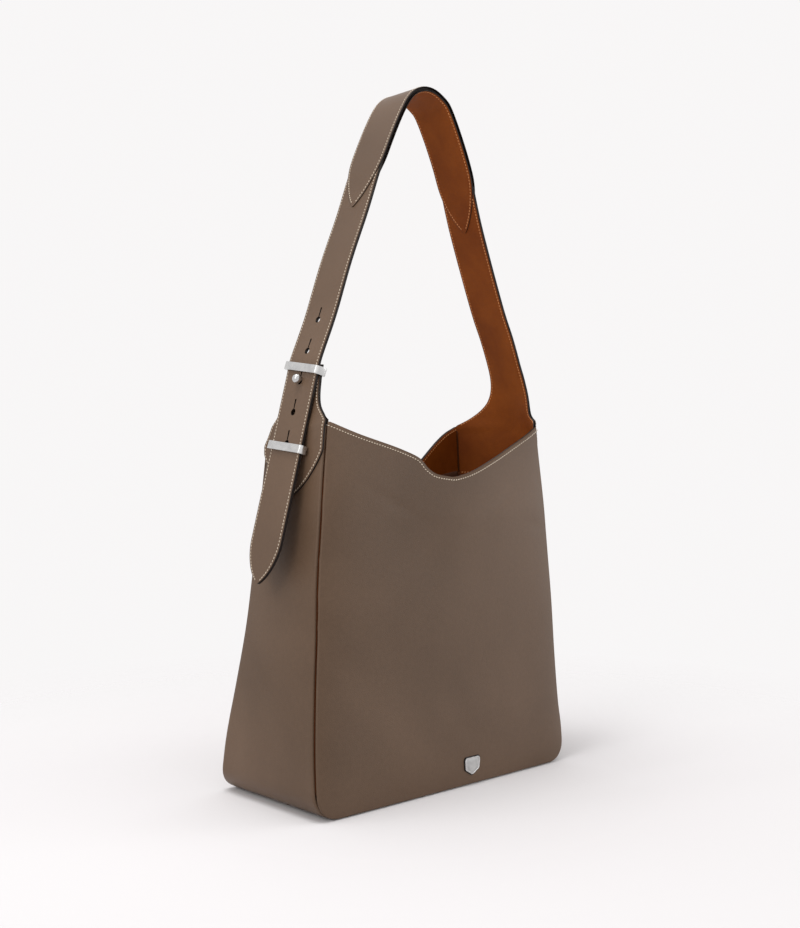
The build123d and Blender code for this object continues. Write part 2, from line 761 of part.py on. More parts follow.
with BuildPart() as zip_tape:
    with BuildSketch(back_plane(inner_face - ZIP_TAPE_THICK)):
        with Locations((0, ZIP_SLOT_PLACE)):
            RectangleRounded(ZIP_LENGTH - 0.4, ZIP_SLOT - 0.4, 2)
    extrude(amount=-ZIP_TAPE_THICK)
zip_tape.part.label = "zip_tape"
export_step(zip_tape.part, "parts/zip_tape.step")

with BuildPart() as zip_teeth:
    with BuildSketch(back_plane(inner_face)):
        with Locations((0, ZIP_SLOT_PLACE)):
            Rectangle(ZIP_LENGTH - 6, ZIP_TEETH_WIDTH)
    extrude(amount=-ZIP_TEETH_THICK)
zip_teeth.part.label = "zip_teeth"
export_step(zip_teeth.part, "parts/zip_teeth.step")

SLIDER_LENGTH = 10.0
SLIDER_HEIGHT = 8.0
SLIDER_THICK = 2.2
SLIDER_START = -66.0
BAIL_R = 1.3
BAIL_HALF = 0.9
BAIL_SINK = 0.4
PULL_LENGTH = 26.0
PULL_WIDTH = 5.0
PULL_THICK = 1.2
slider_at = inner_face + ZIP_TEETH_THICK + 0.35
# the slider's X runs the other way in the back panel's plane
slider_place = (-SLIDER_START, ZIP_SLOT_PLACE)

with BuildPart() as zip_slider:
    with BuildSketch(back_plane(slider_at)):
        with Locations(slider_place):
            RectangleRounded(SLIDER_LENGTH, SLIDER_HEIGHT, 2)
    extrude(amount=-SLIDER_THICK)
    with BuildSketch(Plane.YZ.offset(SLIDER_START)):
        bail = back_plane(slider_at + SLIDER_THICK).from_local_coords((0, ZIP_SLOT_PLACE, 0))
        with Locations((bail.Y - BAIL_R + BAIL_SINK, bail.Z)):
            Circle(BAIL_R)
            Circle(BAIL_R / 2, mode=Mode.SUBTRACT)
    extrude(amount=BAIL_HALF, both=True)
zip_slider.part.label = "zip_slider"
export_step(zip_slider.part, "parts/zip_slider.step")

bail_pin = back_plane(slider_at + SLIDER_THICK).from_local_coords((0, ZIP_SLOT_PLACE, 0))
pull_y = bail_pin.Y + BAIL_SINK - 2 * BAIL_R - 0.35 - PULL_THICK
PULL_HEAD = 0.5

with BuildPart() as zip_pull:
    with BuildSketch(Plane.XZ.offset(-pull_y - PULL_THICK)):
        with Locations((SLIDER_START, bail_pin.Z - PULL_LENGTH / 2 + PULL_HEAD)):
            RectangleRounded(PULL_WIDTH, PULL_LENGTH, 2)
    extrude(amount=PULL_THICK)
zip_pull.part.label = "zip_pull"
export_step(zip_pull.part, "parts/zip_pull.step")

BAG_THICK = 0.5
BAG_DROP = 130.0

with BuildPart() as zip_pocket_bag:
    with BuildSketch(back_plane(LEATHER + GAP)):
        with Locations((0, ZIP_SLOT_PLACE + ZIP_SLOT - BAG_DROP / 2)):
            RectangleRounded(ZIP_LENGTH + 20, BAG_DROP, 6)
    extrude(amount=-BAG_THICK)
zip_pocket_bag.part.label = "zip_pocket_bag"
export_step(zip_pocket_bag.part, "parts/zip_pocket_bag.step")

SLIP_THICK = 0.6

with BuildPart() as slip_pocket:
    with BuildSketch(front_plane(inner_face + GAP)):
        with Locations((0, SLIP_Z)):
            RectangleRounded(SLIP_WIDTH, SLIP_HEIGHT, 5)
    extrude(amount=-SLIP_THICK)
slip_pocket.part.label = "slip_pocket"
export_step(slip_pocket.part, "parts/slip_pocket.step")
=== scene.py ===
"""Visual model of a leather hobo bag: shells, straps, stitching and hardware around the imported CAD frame."""
import math
import random

import bmesh
import bpy
import numpy as np
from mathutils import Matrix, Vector


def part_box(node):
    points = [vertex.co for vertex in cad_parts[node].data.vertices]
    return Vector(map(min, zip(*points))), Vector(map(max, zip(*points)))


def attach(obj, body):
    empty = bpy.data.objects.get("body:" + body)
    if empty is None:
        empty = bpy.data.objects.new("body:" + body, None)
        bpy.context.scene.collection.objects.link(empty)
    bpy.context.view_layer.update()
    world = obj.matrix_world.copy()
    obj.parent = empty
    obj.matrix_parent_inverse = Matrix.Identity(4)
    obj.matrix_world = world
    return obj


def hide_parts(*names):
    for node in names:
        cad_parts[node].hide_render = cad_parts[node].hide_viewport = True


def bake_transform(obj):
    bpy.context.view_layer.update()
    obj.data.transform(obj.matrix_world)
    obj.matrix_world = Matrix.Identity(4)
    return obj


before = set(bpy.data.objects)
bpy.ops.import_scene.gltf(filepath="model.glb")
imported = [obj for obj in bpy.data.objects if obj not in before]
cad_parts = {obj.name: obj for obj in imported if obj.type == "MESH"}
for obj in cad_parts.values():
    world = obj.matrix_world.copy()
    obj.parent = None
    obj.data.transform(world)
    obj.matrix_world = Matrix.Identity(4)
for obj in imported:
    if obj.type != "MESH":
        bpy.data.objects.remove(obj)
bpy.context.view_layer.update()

MM = 0.001
RANDOM = random.Random(7)

# Bag body, in millimetres, as in the CAD model
RIM_Z = 335.0
RIM_HALF = 130.0
GUSSET_TOP = 331.5
CORNER_R = 23.0
SEAM_ROLL = 1.7
LEATHER = 1.3
FRONT_SWELL = 3.4
PILLOW = 4.4

# The four side seams as (height, distance from the middle plane): half widths, then half depths
SEAM_WIDTHS = {
    -1: ((-10, 163.5), (0, 163.5), (47, 161.5), (100, 155), (150, 148.5), (200, 144), (250, 138.5), (300, 133.5),
         (350, 128.5)),
    1: ((-10, 156), (0, 156), (34, 155), (60, 152), (110, 149), (160, 146.5), (210, 142.5), (260, 138.5),
        (310, 133), (350, 129.5)),
}
SEAM_DEPTHS = {
    -1: ((-10, 72), (0, 71), (47, 65), (102, 57), (149, 51.5), (196, 47.5), (241, 45.5), (283, 44), (350, 43)),
    1: ((-10, 70.5), (0, 70), (84, 65), (184, 61.5), (285, 58), (350, 56)),
}
FRONT_RIM = (
    (-130, 333), (-98, 323), (-60, 313), (-42, 307.5), (-30, 303), (-24.5, 299.5), (-19, 293.5), (-13, 289.5),
    (-7.5, 287), (4.5, 285), (17, 284.5), (39, 290), (67, 301.5), (95, 314.5), (119, 326), (130, 332.5),
)
BACK_RIM = (
    (-130, 313), (-85, 303), (-55, 295), (-25, 286.5), (5, 280), (30, 279), (50, 282.5), (64, 289.5), (78, 300),
    (88, 308.5), (101, 319), (115, 328), (130, 334.5),
)
PANELS = (("front", FRONT_RIM, -1), ("back", BACK_RIM, 1))
GUSSETS = (("left", -1), ("right", 1))

# Strap, in the XZ plane: the tail's lean, the loop's outer face and the heights where the leather bends
TAIL_LEAN = math.radians(15)
STRAP_HALF = 21.8
PLY_OUT = 1.6
PLY_IN = 1.4
PLY_GAP = 0.05
LOOP = (
    (-103, 430), (-85, 480), (-65.5, 527), (-48, 573), (-26, 620), (-9.5, 644), (10, 652.6), (28, 649), (43.5, 636),
    (68, 588), (88, 529), (117.5, 456), (133.5, 423), (145.8, 393.5),
)
RIGHT_NECK = ((154.0, 370.0), (158.0, 352.0), (159.6, 341.0))


def tail_x(z):
    """X of the strap tail's outer face at height z."""
    return -123.0 - (378.0 - z) * math.tan(TAIL_LEAN)


# ---------------------------------------------------------------- curves

def lengths(points):
    """Distance run along a line of points, at each point."""
    return np.concatenate([[0], np.cumsum(np.linalg.norm(np.diff(points, axis=0), axis=1))])


def smooth_curve(points, spacing):
    """Points at even spacing along a Catmull-Rom curve through these points."""
    p = np.array(points, float)
    p = np.vstack([2 * p[0] - p[1], p, 2 * p[-1] - p[-2]])
    dense = []
    for a, b, c, d in zip(p[:-3], p[1:-2], p[2:-1], p[3:]):
        for t in np.linspace(0, 1, 24, endpoint=False):
            bend = (2 * a - 5 * b + 4 * c - d) * t**2 + (3 * b - a - 3 * c + d) * t**3
            dense.append(0.5 * (2 * b + (c - a) * t + bend))
    dense.append(p[-2])
    dense = np.array(dense)
    run = lengths(dense)
    at = np.linspace(0, run[-1], max(2, int(round(run[-1] / spacing)) + 1))
    return np.stack([np.interp(at, run, column) for column in dense.T], axis=1)


def read_curve(line, at):
    """The second column of a line of points where its first column has this value."""
    return np.interp(at, line[:, 0], line[:, 1])


def unit(vectors):
    """A vector, or each row of vectors, scaled to length one."""
    vectors = np.asarray(vectors, float)
    return vectors / np.linalg.norm(vectors, axis=-1, keepdims=True)


def ease(t):
    """0 up to 1 with a soft start and a soft stop."""
    t = np.clip(t, 0, 1)
    return t * t * (3 - 2 * t)


def hump(x, z, at_x, at_z, wide, tall):
    """A soft round hump, 1 high at its middle."""
    return np.exp(-(((x - at_x) / wide) ** 2) - ((z - at_z) / tall) ** 2)


WIDTH_LINES = {side: smooth_curve(points, 2.0) for side, points in SEAM_WIDTHS.items()}
DEPTH_LINES = {side: smooth_curve(points, 2.0) for side, points in SEAM_DEPTHS.items()}
RIM_LINES = {side: smooth_curve(rim, 2.0) for _, rim, side in PANELS}


def seam_x(z, side):
    """Half of the bag's width at the left (-1) or right (1) seams, at height z."""
    return read_curve(WIDTH_LINES[side], z)


def seam_depth(z, side):
    """Half of the bag's depth at the left (-1) or right (1) seams, at height z."""
    return read_curve(DEPTH_LINES[side], z)


# Soft creases in the front panel: place, lean, length and depth
CREASE_WIDTH = 3.6
CREASES = (
    (-138, 214, 0.25, 15, 0.55), (-134, 186, 0.1, 17, 0.5), (-140, 158, -0.15, 13, 0.5), (-136, 132, 0.3, 15, 0.4),
    (-128, 268, 0.9, 20, 0.4), (118, 236, -0.3, 16, 0.35), (60, 250, 0.5, 30, 0.45), (-60, 262, -0.45, 34, 0.45),
)


def panel_y(x, z, side):
    """Depth of a panel's outer face from the bag's middle plane, soft swells and creases included."""
    x = np.asarray(x, float)
    half = np.where(x < 0, seam_x(z, -1), seam_x(z, 1))
    share = np.clip(x / half, -1, 1)
    flat = seam_depth(z, -1) + (seam_depth(z, 1) - seam_depth(z, -1)) * (share + 1) / 2
    height = np.clip(z / RIM_Z, 0, 1)
    swell = FRONT_SWELL * np.sin(np.pi * np.clip(height * 1.05 + 0.02, 0, 1)) ** 0.8 * (1 - share**2) ** 0.9
    edge = half * (1 - np.abs(share))
    foot = 1 - np.exp(-np.clip(z + 3, 0, 400) / 15.0)
    pillow = PILLOW * (1 - np.exp(-edge / 11.0)) * foot * (1 - 0.75 * np.clip((z - 250) / 80, 0, 1))
    if side > 0:
        return flat + swell + pillow + 7.0 * (1 - share**2) * hump(x, z, -70, 190, 55, 90)
    y = flat + swell + pillow - 2.4 * hump(x, z, -40, 235, 60, 45)
    for at_x, at_z, lean, long, deep in CREASES:
        along = (x - at_x) * math.cos(lean) + (z - at_z) * math.sin(lean)
        across = -(x - at_x) * math.sin(lean) + (z - at_z) * math.cos(lean)
        y = y - deep * hump(along, across, 0, 0, long, CREASE_WIDTH)
    return y


# ---------------------------------------------------------------- meshes

def mesh_object(name, vertices, faces, materials, ids=None, smooth=True):
    """A mesh object from millimetre vertices: faces point outwards, edges between materials are crisp."""
    mesh = bpy.data.meshes.new(name)
    mesh.from_pydata([tuple(float(c) * MM for c in v) for v in vertices], [], faces)
    for material in materials:
        mesh.materials.append(material)
    if ids:
        mesh.polygons.foreach_set("material_index", ids)
    mesh.polygons.foreach_set("use_smooth", [smooth] * len(faces))
    bm = bmesh.new()
    bm.from_mesh(mesh)
    bmesh.ops.recalc_face_normals(bm, faces=bm.faces)
    for edge in bm.edges:
        if len({face.material_index for face in edge.link_faces}) > 1:
            edge.smooth = False
    bm.to_mesh(mesh)
    bm.free()
    obj = bpy.data.objects.new(name, mesh)
    bpy.context.scene.collection.objects.link(obj)
    return obj


def grid_faces(rows, columns):
    """Quads between rows of points."""
    corners = [r * columns + c for r in range(rows - 1) for c in range(columns - 1)]
    return [(a, a + 1, a + columns + 1, a + columns) for a in corners]


def ring_points(centre, first, second, radius, sides):
    """Points round a circle or ellipse."""
    turns = [2 * math.pi * k / sides for k in range(sides)]
    return [centre + (first * math.cos(turn) + second * math.sin(turn)) * radius for turn in turns]


def ring_faces(rings, sides, first=0, capped=True):
    """Faces of a stack of closed rings that starts at vertex first: capped, or led back to its first ring."""
    faces = []
    for r in range(rings - capped):
        a = first + r * sides
        b = first + (r + 1) % rings * sides
        for k in range(sides):
            j = (k + 1) % sides
            faces.append((a + k, a + j, b + j, b + k))
    if capped:
        faces.append(tuple(first + k for k in reversed(range(sides))))
        faces.append(tuple(first + (rings - 1) * sides + k for k in range(sides)))
    return faces


def ring_object(name, rings, materials, ids=None, capped=True, smooth=True):
    """A solid from matching rings of points. ids gives the material of each band between two rings."""
    sides = len(rings[0])
    ids = ids or [0] * len(rings)
    used = [ids[k] for k in range(len(rings) - capped) for _ in range(sides)]
    if capped:
        used += [ids[0], ids[-1]]
    vertices = [point for ring in rings for point in ring]
    return mesh_object(name, vertices, ring_faces(len(rings), sides, 0, capped), materials, used, smooth)


def tube(name, points, radius, material, sides=10):
    """A round tube along a line of points."""
    points = np.asarray(points, float)
    rings = []
    for point, way in zip(points, unit(np.gradient(points, axis=0))):
        across = unit(np.cross(way, (0.3, 1.0, 0.1)))
        rings.append(ring_points(point, across, np.cross(way, across), radius, sides))
    return ring_object(name, rings, [material])


def lathe(name, profile, centre, axis, sides=40):
    """A turned silver solid from (radius, height) pairs, which start and end on its axis."""
    axis = np.asarray(axis, float)
    aside = (0.0, 1.0, 0.0) if abs(axis[1]) < 0.9 else (1.0, 0.0, 0.0)
    first = unit(np.cross(axis, aside))
    second = np.cross(axis, first)
    vertices = [centre + axis * profile[0][1]]
    for radius, height in profile[1:-1]:
        vertices += ring_points(centre + axis * height, first, second, radius, sides)
    vertices.append(centre + axis * profile[-1][1])
    faces = ring_faces(len(profile) - 2, sides, 1)[:-2]
    last = len(vertices) - 1 - sides
    for k in range(sides):
        j = (k + 1) % sides
        faces += [(0, 1 + j, 1 + k), (last + k, last + j, last + sides)]
    return mesh_object(name, vertices, faces, [SILVER])


def painted_band(name, outer, inner, materials, inside):
    """A closed band between two matching grids: its leather face, and edge paint on its edges and hidden side."""
    rows, columns = outer.shape[:2]
    base = rows * columns
    faces = []
    ids = []
    for index, quad in enumerate(grid_faces(rows, columns)):
        painted = index % (columns - 1) in (0, columns - 2)
        faces += [quad, tuple(base + k for k in reversed(quad))]
        ids += [1 if painted or inside else 0, 0 if inside and not painted else 1]
    ring = list(range(columns))
    ring += [r * columns + columns - 1 for r in range(1, rows)]
    ring += [(rows - 1) * columns + c for c in range(columns - 2, -1, -1)]
    ring += [r * columns for r in range(rows - 2, 0, -1)]
    for a, b in zip(ring, ring[1:] + ring[:1]):
        faces.append((b, a, base + a, base + b))
        ids.append(1)
    vertices = np.concatenate([outer.reshape(-1, 3), inner.reshape(-1, 3)])
    return mesh_object(name, vertices, faces, materials, ids)


def join(name, objects):
    """Joins objects into the first and names it."""
    for obj in objects:
        obj.select_set(True)
    bpy.context.view_layer.objects.active = objects[0]
    with bpy.context.temp_override(active_object=objects[0], selected_editable_objects=objects):
        bpy.ops.object.join()
    objects[0].name = name
    objects[0].select_set(False)
    return objects[0]


STITCH_PITCH = 3.0
STITCH_LONG = 2.25
STITCH_R = 0.4
STITCH_SLANT = 0.16
STITCH_LIFT = 0.14
STITCH_SHAPE = ((-0.5, 0.25), (-0.36, 0.85), (0.0, 1.0), (0.36, 0.85), (0.5, 0.25))
STITCH_SIDES = 6


def stitch_row(name, points, normals, material):
    """A row of separate saddle stitches along a line on a surface."""
    run = lengths(points)
    count = int(run[-1] / STITCH_PITCH)
    vertices = []
    faces = []
    for index in range(count):
        at = (index + 0.5) * run[-1] / count
        spots = (at, min(at + 1, run[-1]), max(at - 1, 0))
        centre, ahead, behind = (np.array([np.interp(spot, run, column) for column in points.T]) for spot in spots)
        n = np.array([np.interp(at, run, column) for column in normals.T])
        along = unit(ahead - behind)
        n = unit(n - along * np.dot(n, along))
        along = unit(along + np.cross(n, along) * STITCH_SLANT)
        across = np.cross(n, along)
        size = STITCH_LONG * RANDOM.uniform(0.93, 1.05)
        faces += ring_faces(len(STITCH_SHAPE), STITCH_SIDES, len(vertices))
        for place, fat in STITCH_SHAPE:
            lift = STITCH_LIFT - STITCH_R * 1.1 * (abs(place) * 2) ** 3
            middle = centre + along * place * size + n * lift
            vertices += ring_points(middle, across * 1.25, n * 0.8, STITCH_R * fat, STITCH_SIDES)
    return mesh_object(name, vertices, faces, [material])


# ---------------------------------------------------------------- materials

class Look:
    """A node material with a Principled shader, its textures laid in the piece's own space."""

    def __init__(self, name):
        self.material = bpy.data.materials.new(name)
        self.material.use_nodes = True
        self.tree = self.material.node_tree
        self.shader = self.tree.nodes["Principled BSDF"]
        self.place = self.tree.nodes.new("ShaderNodeTexCoord").outputs["Object"]

    def fill(self, node, values):
        """Sets a node's inputs by name, from constants or from other nodes' outputs."""
        for key, value in values.items():
            self.put(node.inputs[key.replace("_", " ")], value)
        return node

    def put(self, socket, value):
        """Sets one input from a constant or another node's output."""
        if isinstance(value, bpy.types.NodeSocket):
            self.tree.links.new(value, socket)
        else:
            socket.default_value = value

    def add(self, kind, **values):
        """A node with its inputs set by name."""
        return self.fill(self.tree.nodes.new("ShaderNode" + kind), values)

    def noise(self, **values):
        """Noise in the piece's own space."""
        return self.add("TexNoise", Vector=self.place, **values).outputs["Fac"]

    def wave(self, way, scale, distortion):
        """Bands in the piece's own space."""
        node = self.add("TexWave", Vector=self.place, Scale=scale, Distortion=distortion)
        node.bands_direction = way
        return node.outputs["Fac"]

    def span(self, value, **values):
        """A value mapped from one range to another."""
        return self.add("MapRange", Value=value, **values).outputs["Result"]

    def ramp(self, source, low, high, dark, light):
        """A colour ramp between two places."""
        node = self.add("ValToRGB", Fac=source)
        for element, position, colour in zip(node.color_ramp.elements, (low, high), (dark, light)):
            element.position = position
            element.color = (*colour, 1)
        return node.outputs["Color"]

    def bump(self, height, strength, distance, **values):
        """Surface relief from a height."""
        return self.add("Bump", Height=height, Strength=strength, Distance=distance, **values).outputs["Normal"]

    def finish(self, **values):
        """Sets the shader's inputs and returns the material."""
        self.fill(self.shader, values)
        return self.material


def leather(name, dark, light, roughness, grain_scale, grain_depth, cloud_scale, shine):
    """Smooth leather: cloudy colour, fine pebbled grain, faint pores and rougher patches."""
    look = Look(name)
    cloud = look.noise(Scale=cloud_scale, Detail=3.0, Roughness=0.55, Distortion=0.4)
    fine = look.noise(Scale=grain_scale * 0.35, Detail=6.0, Roughness=0.7)
    mix = look.add("Mix")
    mix.data_type = "RGBA"
    mix.blend_type = "MULTIPLY"
    look.put(mix.inputs["Factor"], 1.0)
    look.put(mix.inputs[6], look.ramp(cloud, 0.32, 0.68, dark, light))
    look.put(mix.inputs[7], look.ramp(fine, 0.35, 0.65, (0.94, 0.94, 0.94), (1.04, 1.04, 1.04)))
    grain = look.add("TexVoronoi", Vector=look.place, Scale=grain_scale)
    grain.feature = "DISTANCE_TO_EDGE"
    pebbles = look.bump(look.span(grain.outputs["Distance"], From_Max=0.18), 0.22, grain_depth)
    soft = look.noise(Scale=46.0, Detail=4.0, Roughness=0.6)
    return look.finish(
        Base_Color=mix.outputs[2], Roughness=look.span(fine, To_Min=roughness - 0.06, To_Max=roughness + 0.08),
        Normal=look.bump(soft, 0.12, 0.0008, Normal=pebbles), Specular_IOR_Level=shine)


def edge_paint():
    """Dark painted leather edge, slightly uneven."""
    look = Look("edge_paint")
    noise = look.noise(Scale=600.0, Detail=3.0)
    return look.finish(
        Base_Color=look.ramp(noise, 0.3, 0.7, (0.006, 0.004, 0.003), (0.018, 0.011, 0.008)),
        Normal=look.bump(noise, 0.2, 0.0002), Roughness=0.5, Specular_IOR_Level=0.18)


def thread(name, dark, light):
    """Waxed thread: twisted strands."""
    look = Look(name)
    twist = look.wave("DIAGONAL", 900.0, 2.0)
    return look.finish(
        Base_Color=look.ramp(twist, 0.2, 0.8, dark, light), Normal=look.bump(twist, 0.3, 0.0002), Roughness=0.6)


def polished(name, dark, light, roughness):
    """Plated metal with faint haze and fine scratches."""
    look = Look(name)
    haze = look.noise(Scale=120.0, Detail=5.0, Roughness=0.65)
    scratch = look.noise(Scale=900.0, Detail=2.0)
    return look.finish(
        Base_Color=look.ramp(haze, 0.3, 0.7, dark, light), Normal=look.bump(scratch, 0.05, 0.0001), Metallic=1.0,
        Roughness=look.span(haze, To_Min=roughness - 0.04, To_Max=roughness + 0.1))


def woven(name, dark, light):
    """Woven lining cloth: crossed threads."""
    look = Look(name)
    weave = look.add("Math")
    weave.operation = "MULTIPLY"
    look.put(weave.inputs[0], look.wave("X", 420.0, 0.6))
    look.put(weave.inputs[1], look.wave("Z", 420.0, 0.6))
    threads = weave.outputs["Value"]
    return look.finish(
        Base_Color=look.ramp(threads, 0.0, 0.8, dark, light), Normal=look.bump(threads, 0.4, 0.0003), Roughness=0.85)


TAUPE = leather("taupe_leather", (0.084, 0.050, 0.0295), (0.120, 0.0735, 0.0455), 0.42, 780.0, 0.00022, 4.5, 0.22)
COGNAC = leather("cognac_leather", (0.135, 0.029, 0.003), (0.215, 0.053, 0.006), 0.52, 620.0, 0.00035, 14.0, 0.08)
BINDING = leather("binding_leather", (0.050, 0.013, 0.003), (0.085, 0.022, 0.004), 0.6, 620.0, 0.0003, 14.0, 0.1)
EDGE = edge_paint()
CREAM = thread("cream_thread", (0.36, 0.29, 0.21), (0.68, 0.58, 0.46))
TAN = thread("tan_thread", (0.42, 0.14, 0.035), (0.72, 0.31, 0.11))
SILVER = polished("silver_plate", (0.50, 0.50, 0.50), (0.66, 0.66, 0.65), 0.24)
BRUSHED = polished("brushed_silver", (0.40, 0.40, 0.40), (0.55, 0.55, 0.54), 0.42)
GUNMETAL = polished("zip_metal", (0.40, 0.38, 0.34), (0.58, 0.55, 0.5), 0.3)
# Lining cloth: a brown weave, its colours made darker than the cloth's own to paint in the shade under the facings
# inside the bag
LINING_AND_SHADE = woven("lining_cloth_and_painted_shade", (0.050, 0.014, 0.003), (0.11, 0.032, 0.007))
BOARD = woven("board_fibre", (0.03, 0.028, 0.026), (0.07, 0.066, 0.06))


def place_piece(piece, slot, *nodes, body="root"):
    """Rides a finished piece on its body and hides the CAD parts it replaces."""
    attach(piece, body)
    if nodes:
        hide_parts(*nodes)


def place_swinging(piece, slot, *nodes):
    """Bakes a finished piece's placement into its mesh and hides the CAD parts it replaces."""
    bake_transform(piece)
    if nodes:
        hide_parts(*nodes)


# ---------------------------------------------------------------- bag shells

FOOT_DROP = 2.2
BASE_HALF = 128.0
ROLL_REACH = SEAM_ROLL * math.tan(math.radians(67.5))
ROLL_STEPS = np.radians([22, 45, 70, 95, 118, 135])
CORNER_X = {side: float(seam_x(CORNER_R, side)) - CORNER_R for side in (-1, 1)}


def bottom_path(inset, drop):
    """A panel's lower outline in XZ, from its left side round both corners to its right side."""
    r = CORNER_R - inset
    turns = np.linspace(math.pi, 1.5 * math.pi, 12)
    corner = [(r * math.cos(a), CORNER_R - drop + r * math.sin(a)) for a in turns]
    left = [(x - CORNER_X[-1], z) for x, z in corner]
    right = [(CORNER_X[1] - x, z) for x, z in reversed(corner)]
    flat = [(x, inset - drop) for x in np.linspace(-CORNER_X[-1], CORNER_X[1], 64)[1:-1]]
    return np.array(left + flat + right)


def panel_grid(side, inset, depth, rows, foot_line=None, top_line=None):
    """Points of a panel at this depth inside its face; it ends at its outline and rim, or at these lines."""
    low = bottom_path(inset, FOOT_DROP if depth == 0 else 0.0)
    ends = np.where(low[:, 0] < 0, CORNER_X[-1], CORNER_X[1]) + CORNER_R - inset
    share = np.clip(low[:, 0] / ends, -1, 1)
    top = read_curve(RIM_LINES[side] if top_line is None else top_line, share * RIM_HALF)
    bottom = low[:, 1] if foot_line is None else read_curve(foot_line, share * RIM_HALF)
    steps = np.linspace(0, 1, rows)
    if foot_line is None:
        steps = 1 - (1 - steps) ** 1.15
    z = bottom[None, :] + (top - bottom)[None, :] * steps[:, None]
    x = share[None, :] * (np.where(share[None, :] < 0, seam_x(z, -1), seam_x(z, 1)) - inset)
    y = panel_y(x, z, side) - depth
    return np.stack([x, y, z], axis=2)


def roll_edges(grid, boundary, outward, normal):
    """Extra rings of points that roll a sheet's sewn edge inwards, from its boundary points."""
    rings = []
    for angle in ROLL_STEPS:
        reach = SEAM_ROLL * math.sin(angle)
        sink = SEAM_ROLL * (1 - math.cos(angle))
        rings.append(grid.reshape(-1, 3)[boundary] + outward * reach - normal * sink)
    return rings


def skin_object(name, grid, strips, materials, thickness, face_way):
    """A sheet from a grid and its rolled edge strips, thickened inwards. face_way points out of its face."""
    vertices = list(grid.reshape(-1, 3))
    faces = grid_faces(*grid.shape[:2])
    for boundary, rings in strips:
        previous = list(boundary)
        for ring in rings:
            current = list(range(len(vertices), len(vertices) + len(ring)))
            vertices.extend(ring)
            for k in range(len(ring) - 1):
                faces.append((previous[k], previous[k + 1], current[k + 1], current[k]))
            previous = current
    obj = mesh_object(name, vertices, faces, materials)
    bm = bmesh.new()
    bm.from_mesh(obj.data)
    bm.normal_update()
    total = sum((f.normal * f.calc_area() for f in bm.faces), Vector())
    if total.dot(Vector(face_way)) < 0:
        bmesh.ops.reverse_faces(bm, faces=bm.faces)
    bm.to_mesh(obj.data)
    bm.free()
    solid = obj.modifiers.new("thickness", "SOLIDIFY")
    solid.thickness = thickness * MM
    solid.offset = -1
    solid.use_even_offset = False
    solid.material_offset_rim = 1
    return obj
def outline_normals(line):
    """Outward unit normals in XZ along a panel's outline, as 3-D vectors."""
    tangent = np.gradient(line, axis=0)
    return unit(np.stack([tangent[:, 2], np.zeros(len(line)), -tangent[:, 0]], axis=1))


def make_panel(name, side):
    """The front (-1) or back (1) panel, its sides and foot rolled into the seams."""
    grid = panel_grid(side, ROLL_REACH, 0.0, 64)
    rows, columns = grid.shape[:2]
    left = [r * columns for r in range(rows - 1, 0, -1)]
    right = [r * columns + columns - 1 for r in range(1, rows)]
    boundary = left + list(range(columns)) + right
    outward = -outline_normals(grid.reshape(-1, 3)[boundary])
    if outward[0][0] > 0:
        outward = -outward
    rings = roll_edges(grid, boundary, outward, np.array([0.0, 1.0, 0.0]))
    grid[:, :, 1] *= side
    for ring in rings:
        ring[:, 1] *= side
    return skin_object(name, grid, [(boundary, rings)], [TAUPE, EDGE], LEATHER, (0, side, 0))


def back_corner_drop(y, z):
    """How far the left gusset's top edge drops towards its back corner."""
    return 21.0 * ease((y - 27.0) / 16.0) * np.clip((z - 230.0) / (RIM_Z - 230.0), 0, 1)


def right_bow(z):
    """How far the right gusset bows out at height z."""
    rise = np.clip((np.asarray(z, float) - 60.0) / (RIM_Z - 60.0), 0, 1)
    return 28.0 * rise**1.6


def left_bow(z):
    """How far the left gusset swells out at height z."""
    return 2.5 * np.sin(np.pi * np.clip(np.asarray(z, float) / RIM_Z, 0, 1)) ** 1.5
def bow(z, side):
    """How far a gusset stands out past its seams at height z."""
    return right_bow(z) if side > 0 else left_bow(z)
def gusset_path(inset, side):
    """A gusset's middle line in XZ, its side taken as +X: under the bag, round the corner and up to the rim."""
    r = CORNER_R - inset
    points = [(x, inset) for x in np.linspace(BASE_HALF + 0.2, CORNER_X[side], 3)[:-1]]
    for a in np.linspace(0, 0.5 * math.pi, 14)[:-1]:
        points.append((CORNER_X[side] + r * math.sin(a), CORNER_R - r * math.cos(a)))
    points += [(float(seam_x(z, side)) - inset, z) for z in np.linspace(CORNER_R, GUSSET_TOP, 60)]
    return np.array(points)


def gusset_grid(side, inset, edge_room):
    """Points of a gusset at this inset inside its face, and each row's outward normal in XZ."""
    path = gusset_path(inset, side)
    tangent = np.gradient(path, axis=0)
    normal = unit(np.stack([tangent[:, 1], np.zeros(len(path)), -tangent[:, 0]], axis=1))
    share = np.sin(np.linspace(-0.5, 0.5, 31) * math.pi)
    share = 0.55 * share + 0.45 * np.linspace(-1, 1, 31)
    half = seam_depth(path[:, 1], side) - edge_room
    y = share[None, :] * half[:, None]
    out = bow(path[:, 1], side)[:, None] * (1 - share[None, :] ** 2)
    x = path[:, :1] + out * normal[:, :1]
    z = path[:, 1:] + out * normal[:, 2:] * (path[:, 1:] < CORNER_R)
    if side < 0:
        z = z - back_corner_drop(y, z)
    grid = np.stack([side * x, y, np.broadcast_to(z, x.shape)], axis=2)
    normal[:, 0] *= side
    return grid, normal


def roll_sides(grid, normal):
    """The rolled strips along both long edges of a sheet's grid."""
    rows, columns = grid.shape[:2]
    strips = []
    for column, way in ((0, -1.0), (columns - 1, 1.0)):
        boundary = [r * columns + column for r in range(rows)]
        outward = np.tile([0.0, way, 0.0], (rows, 1))
        strips.append((boundary, roll_edges(grid, boundary, outward, normal)))
    return strips


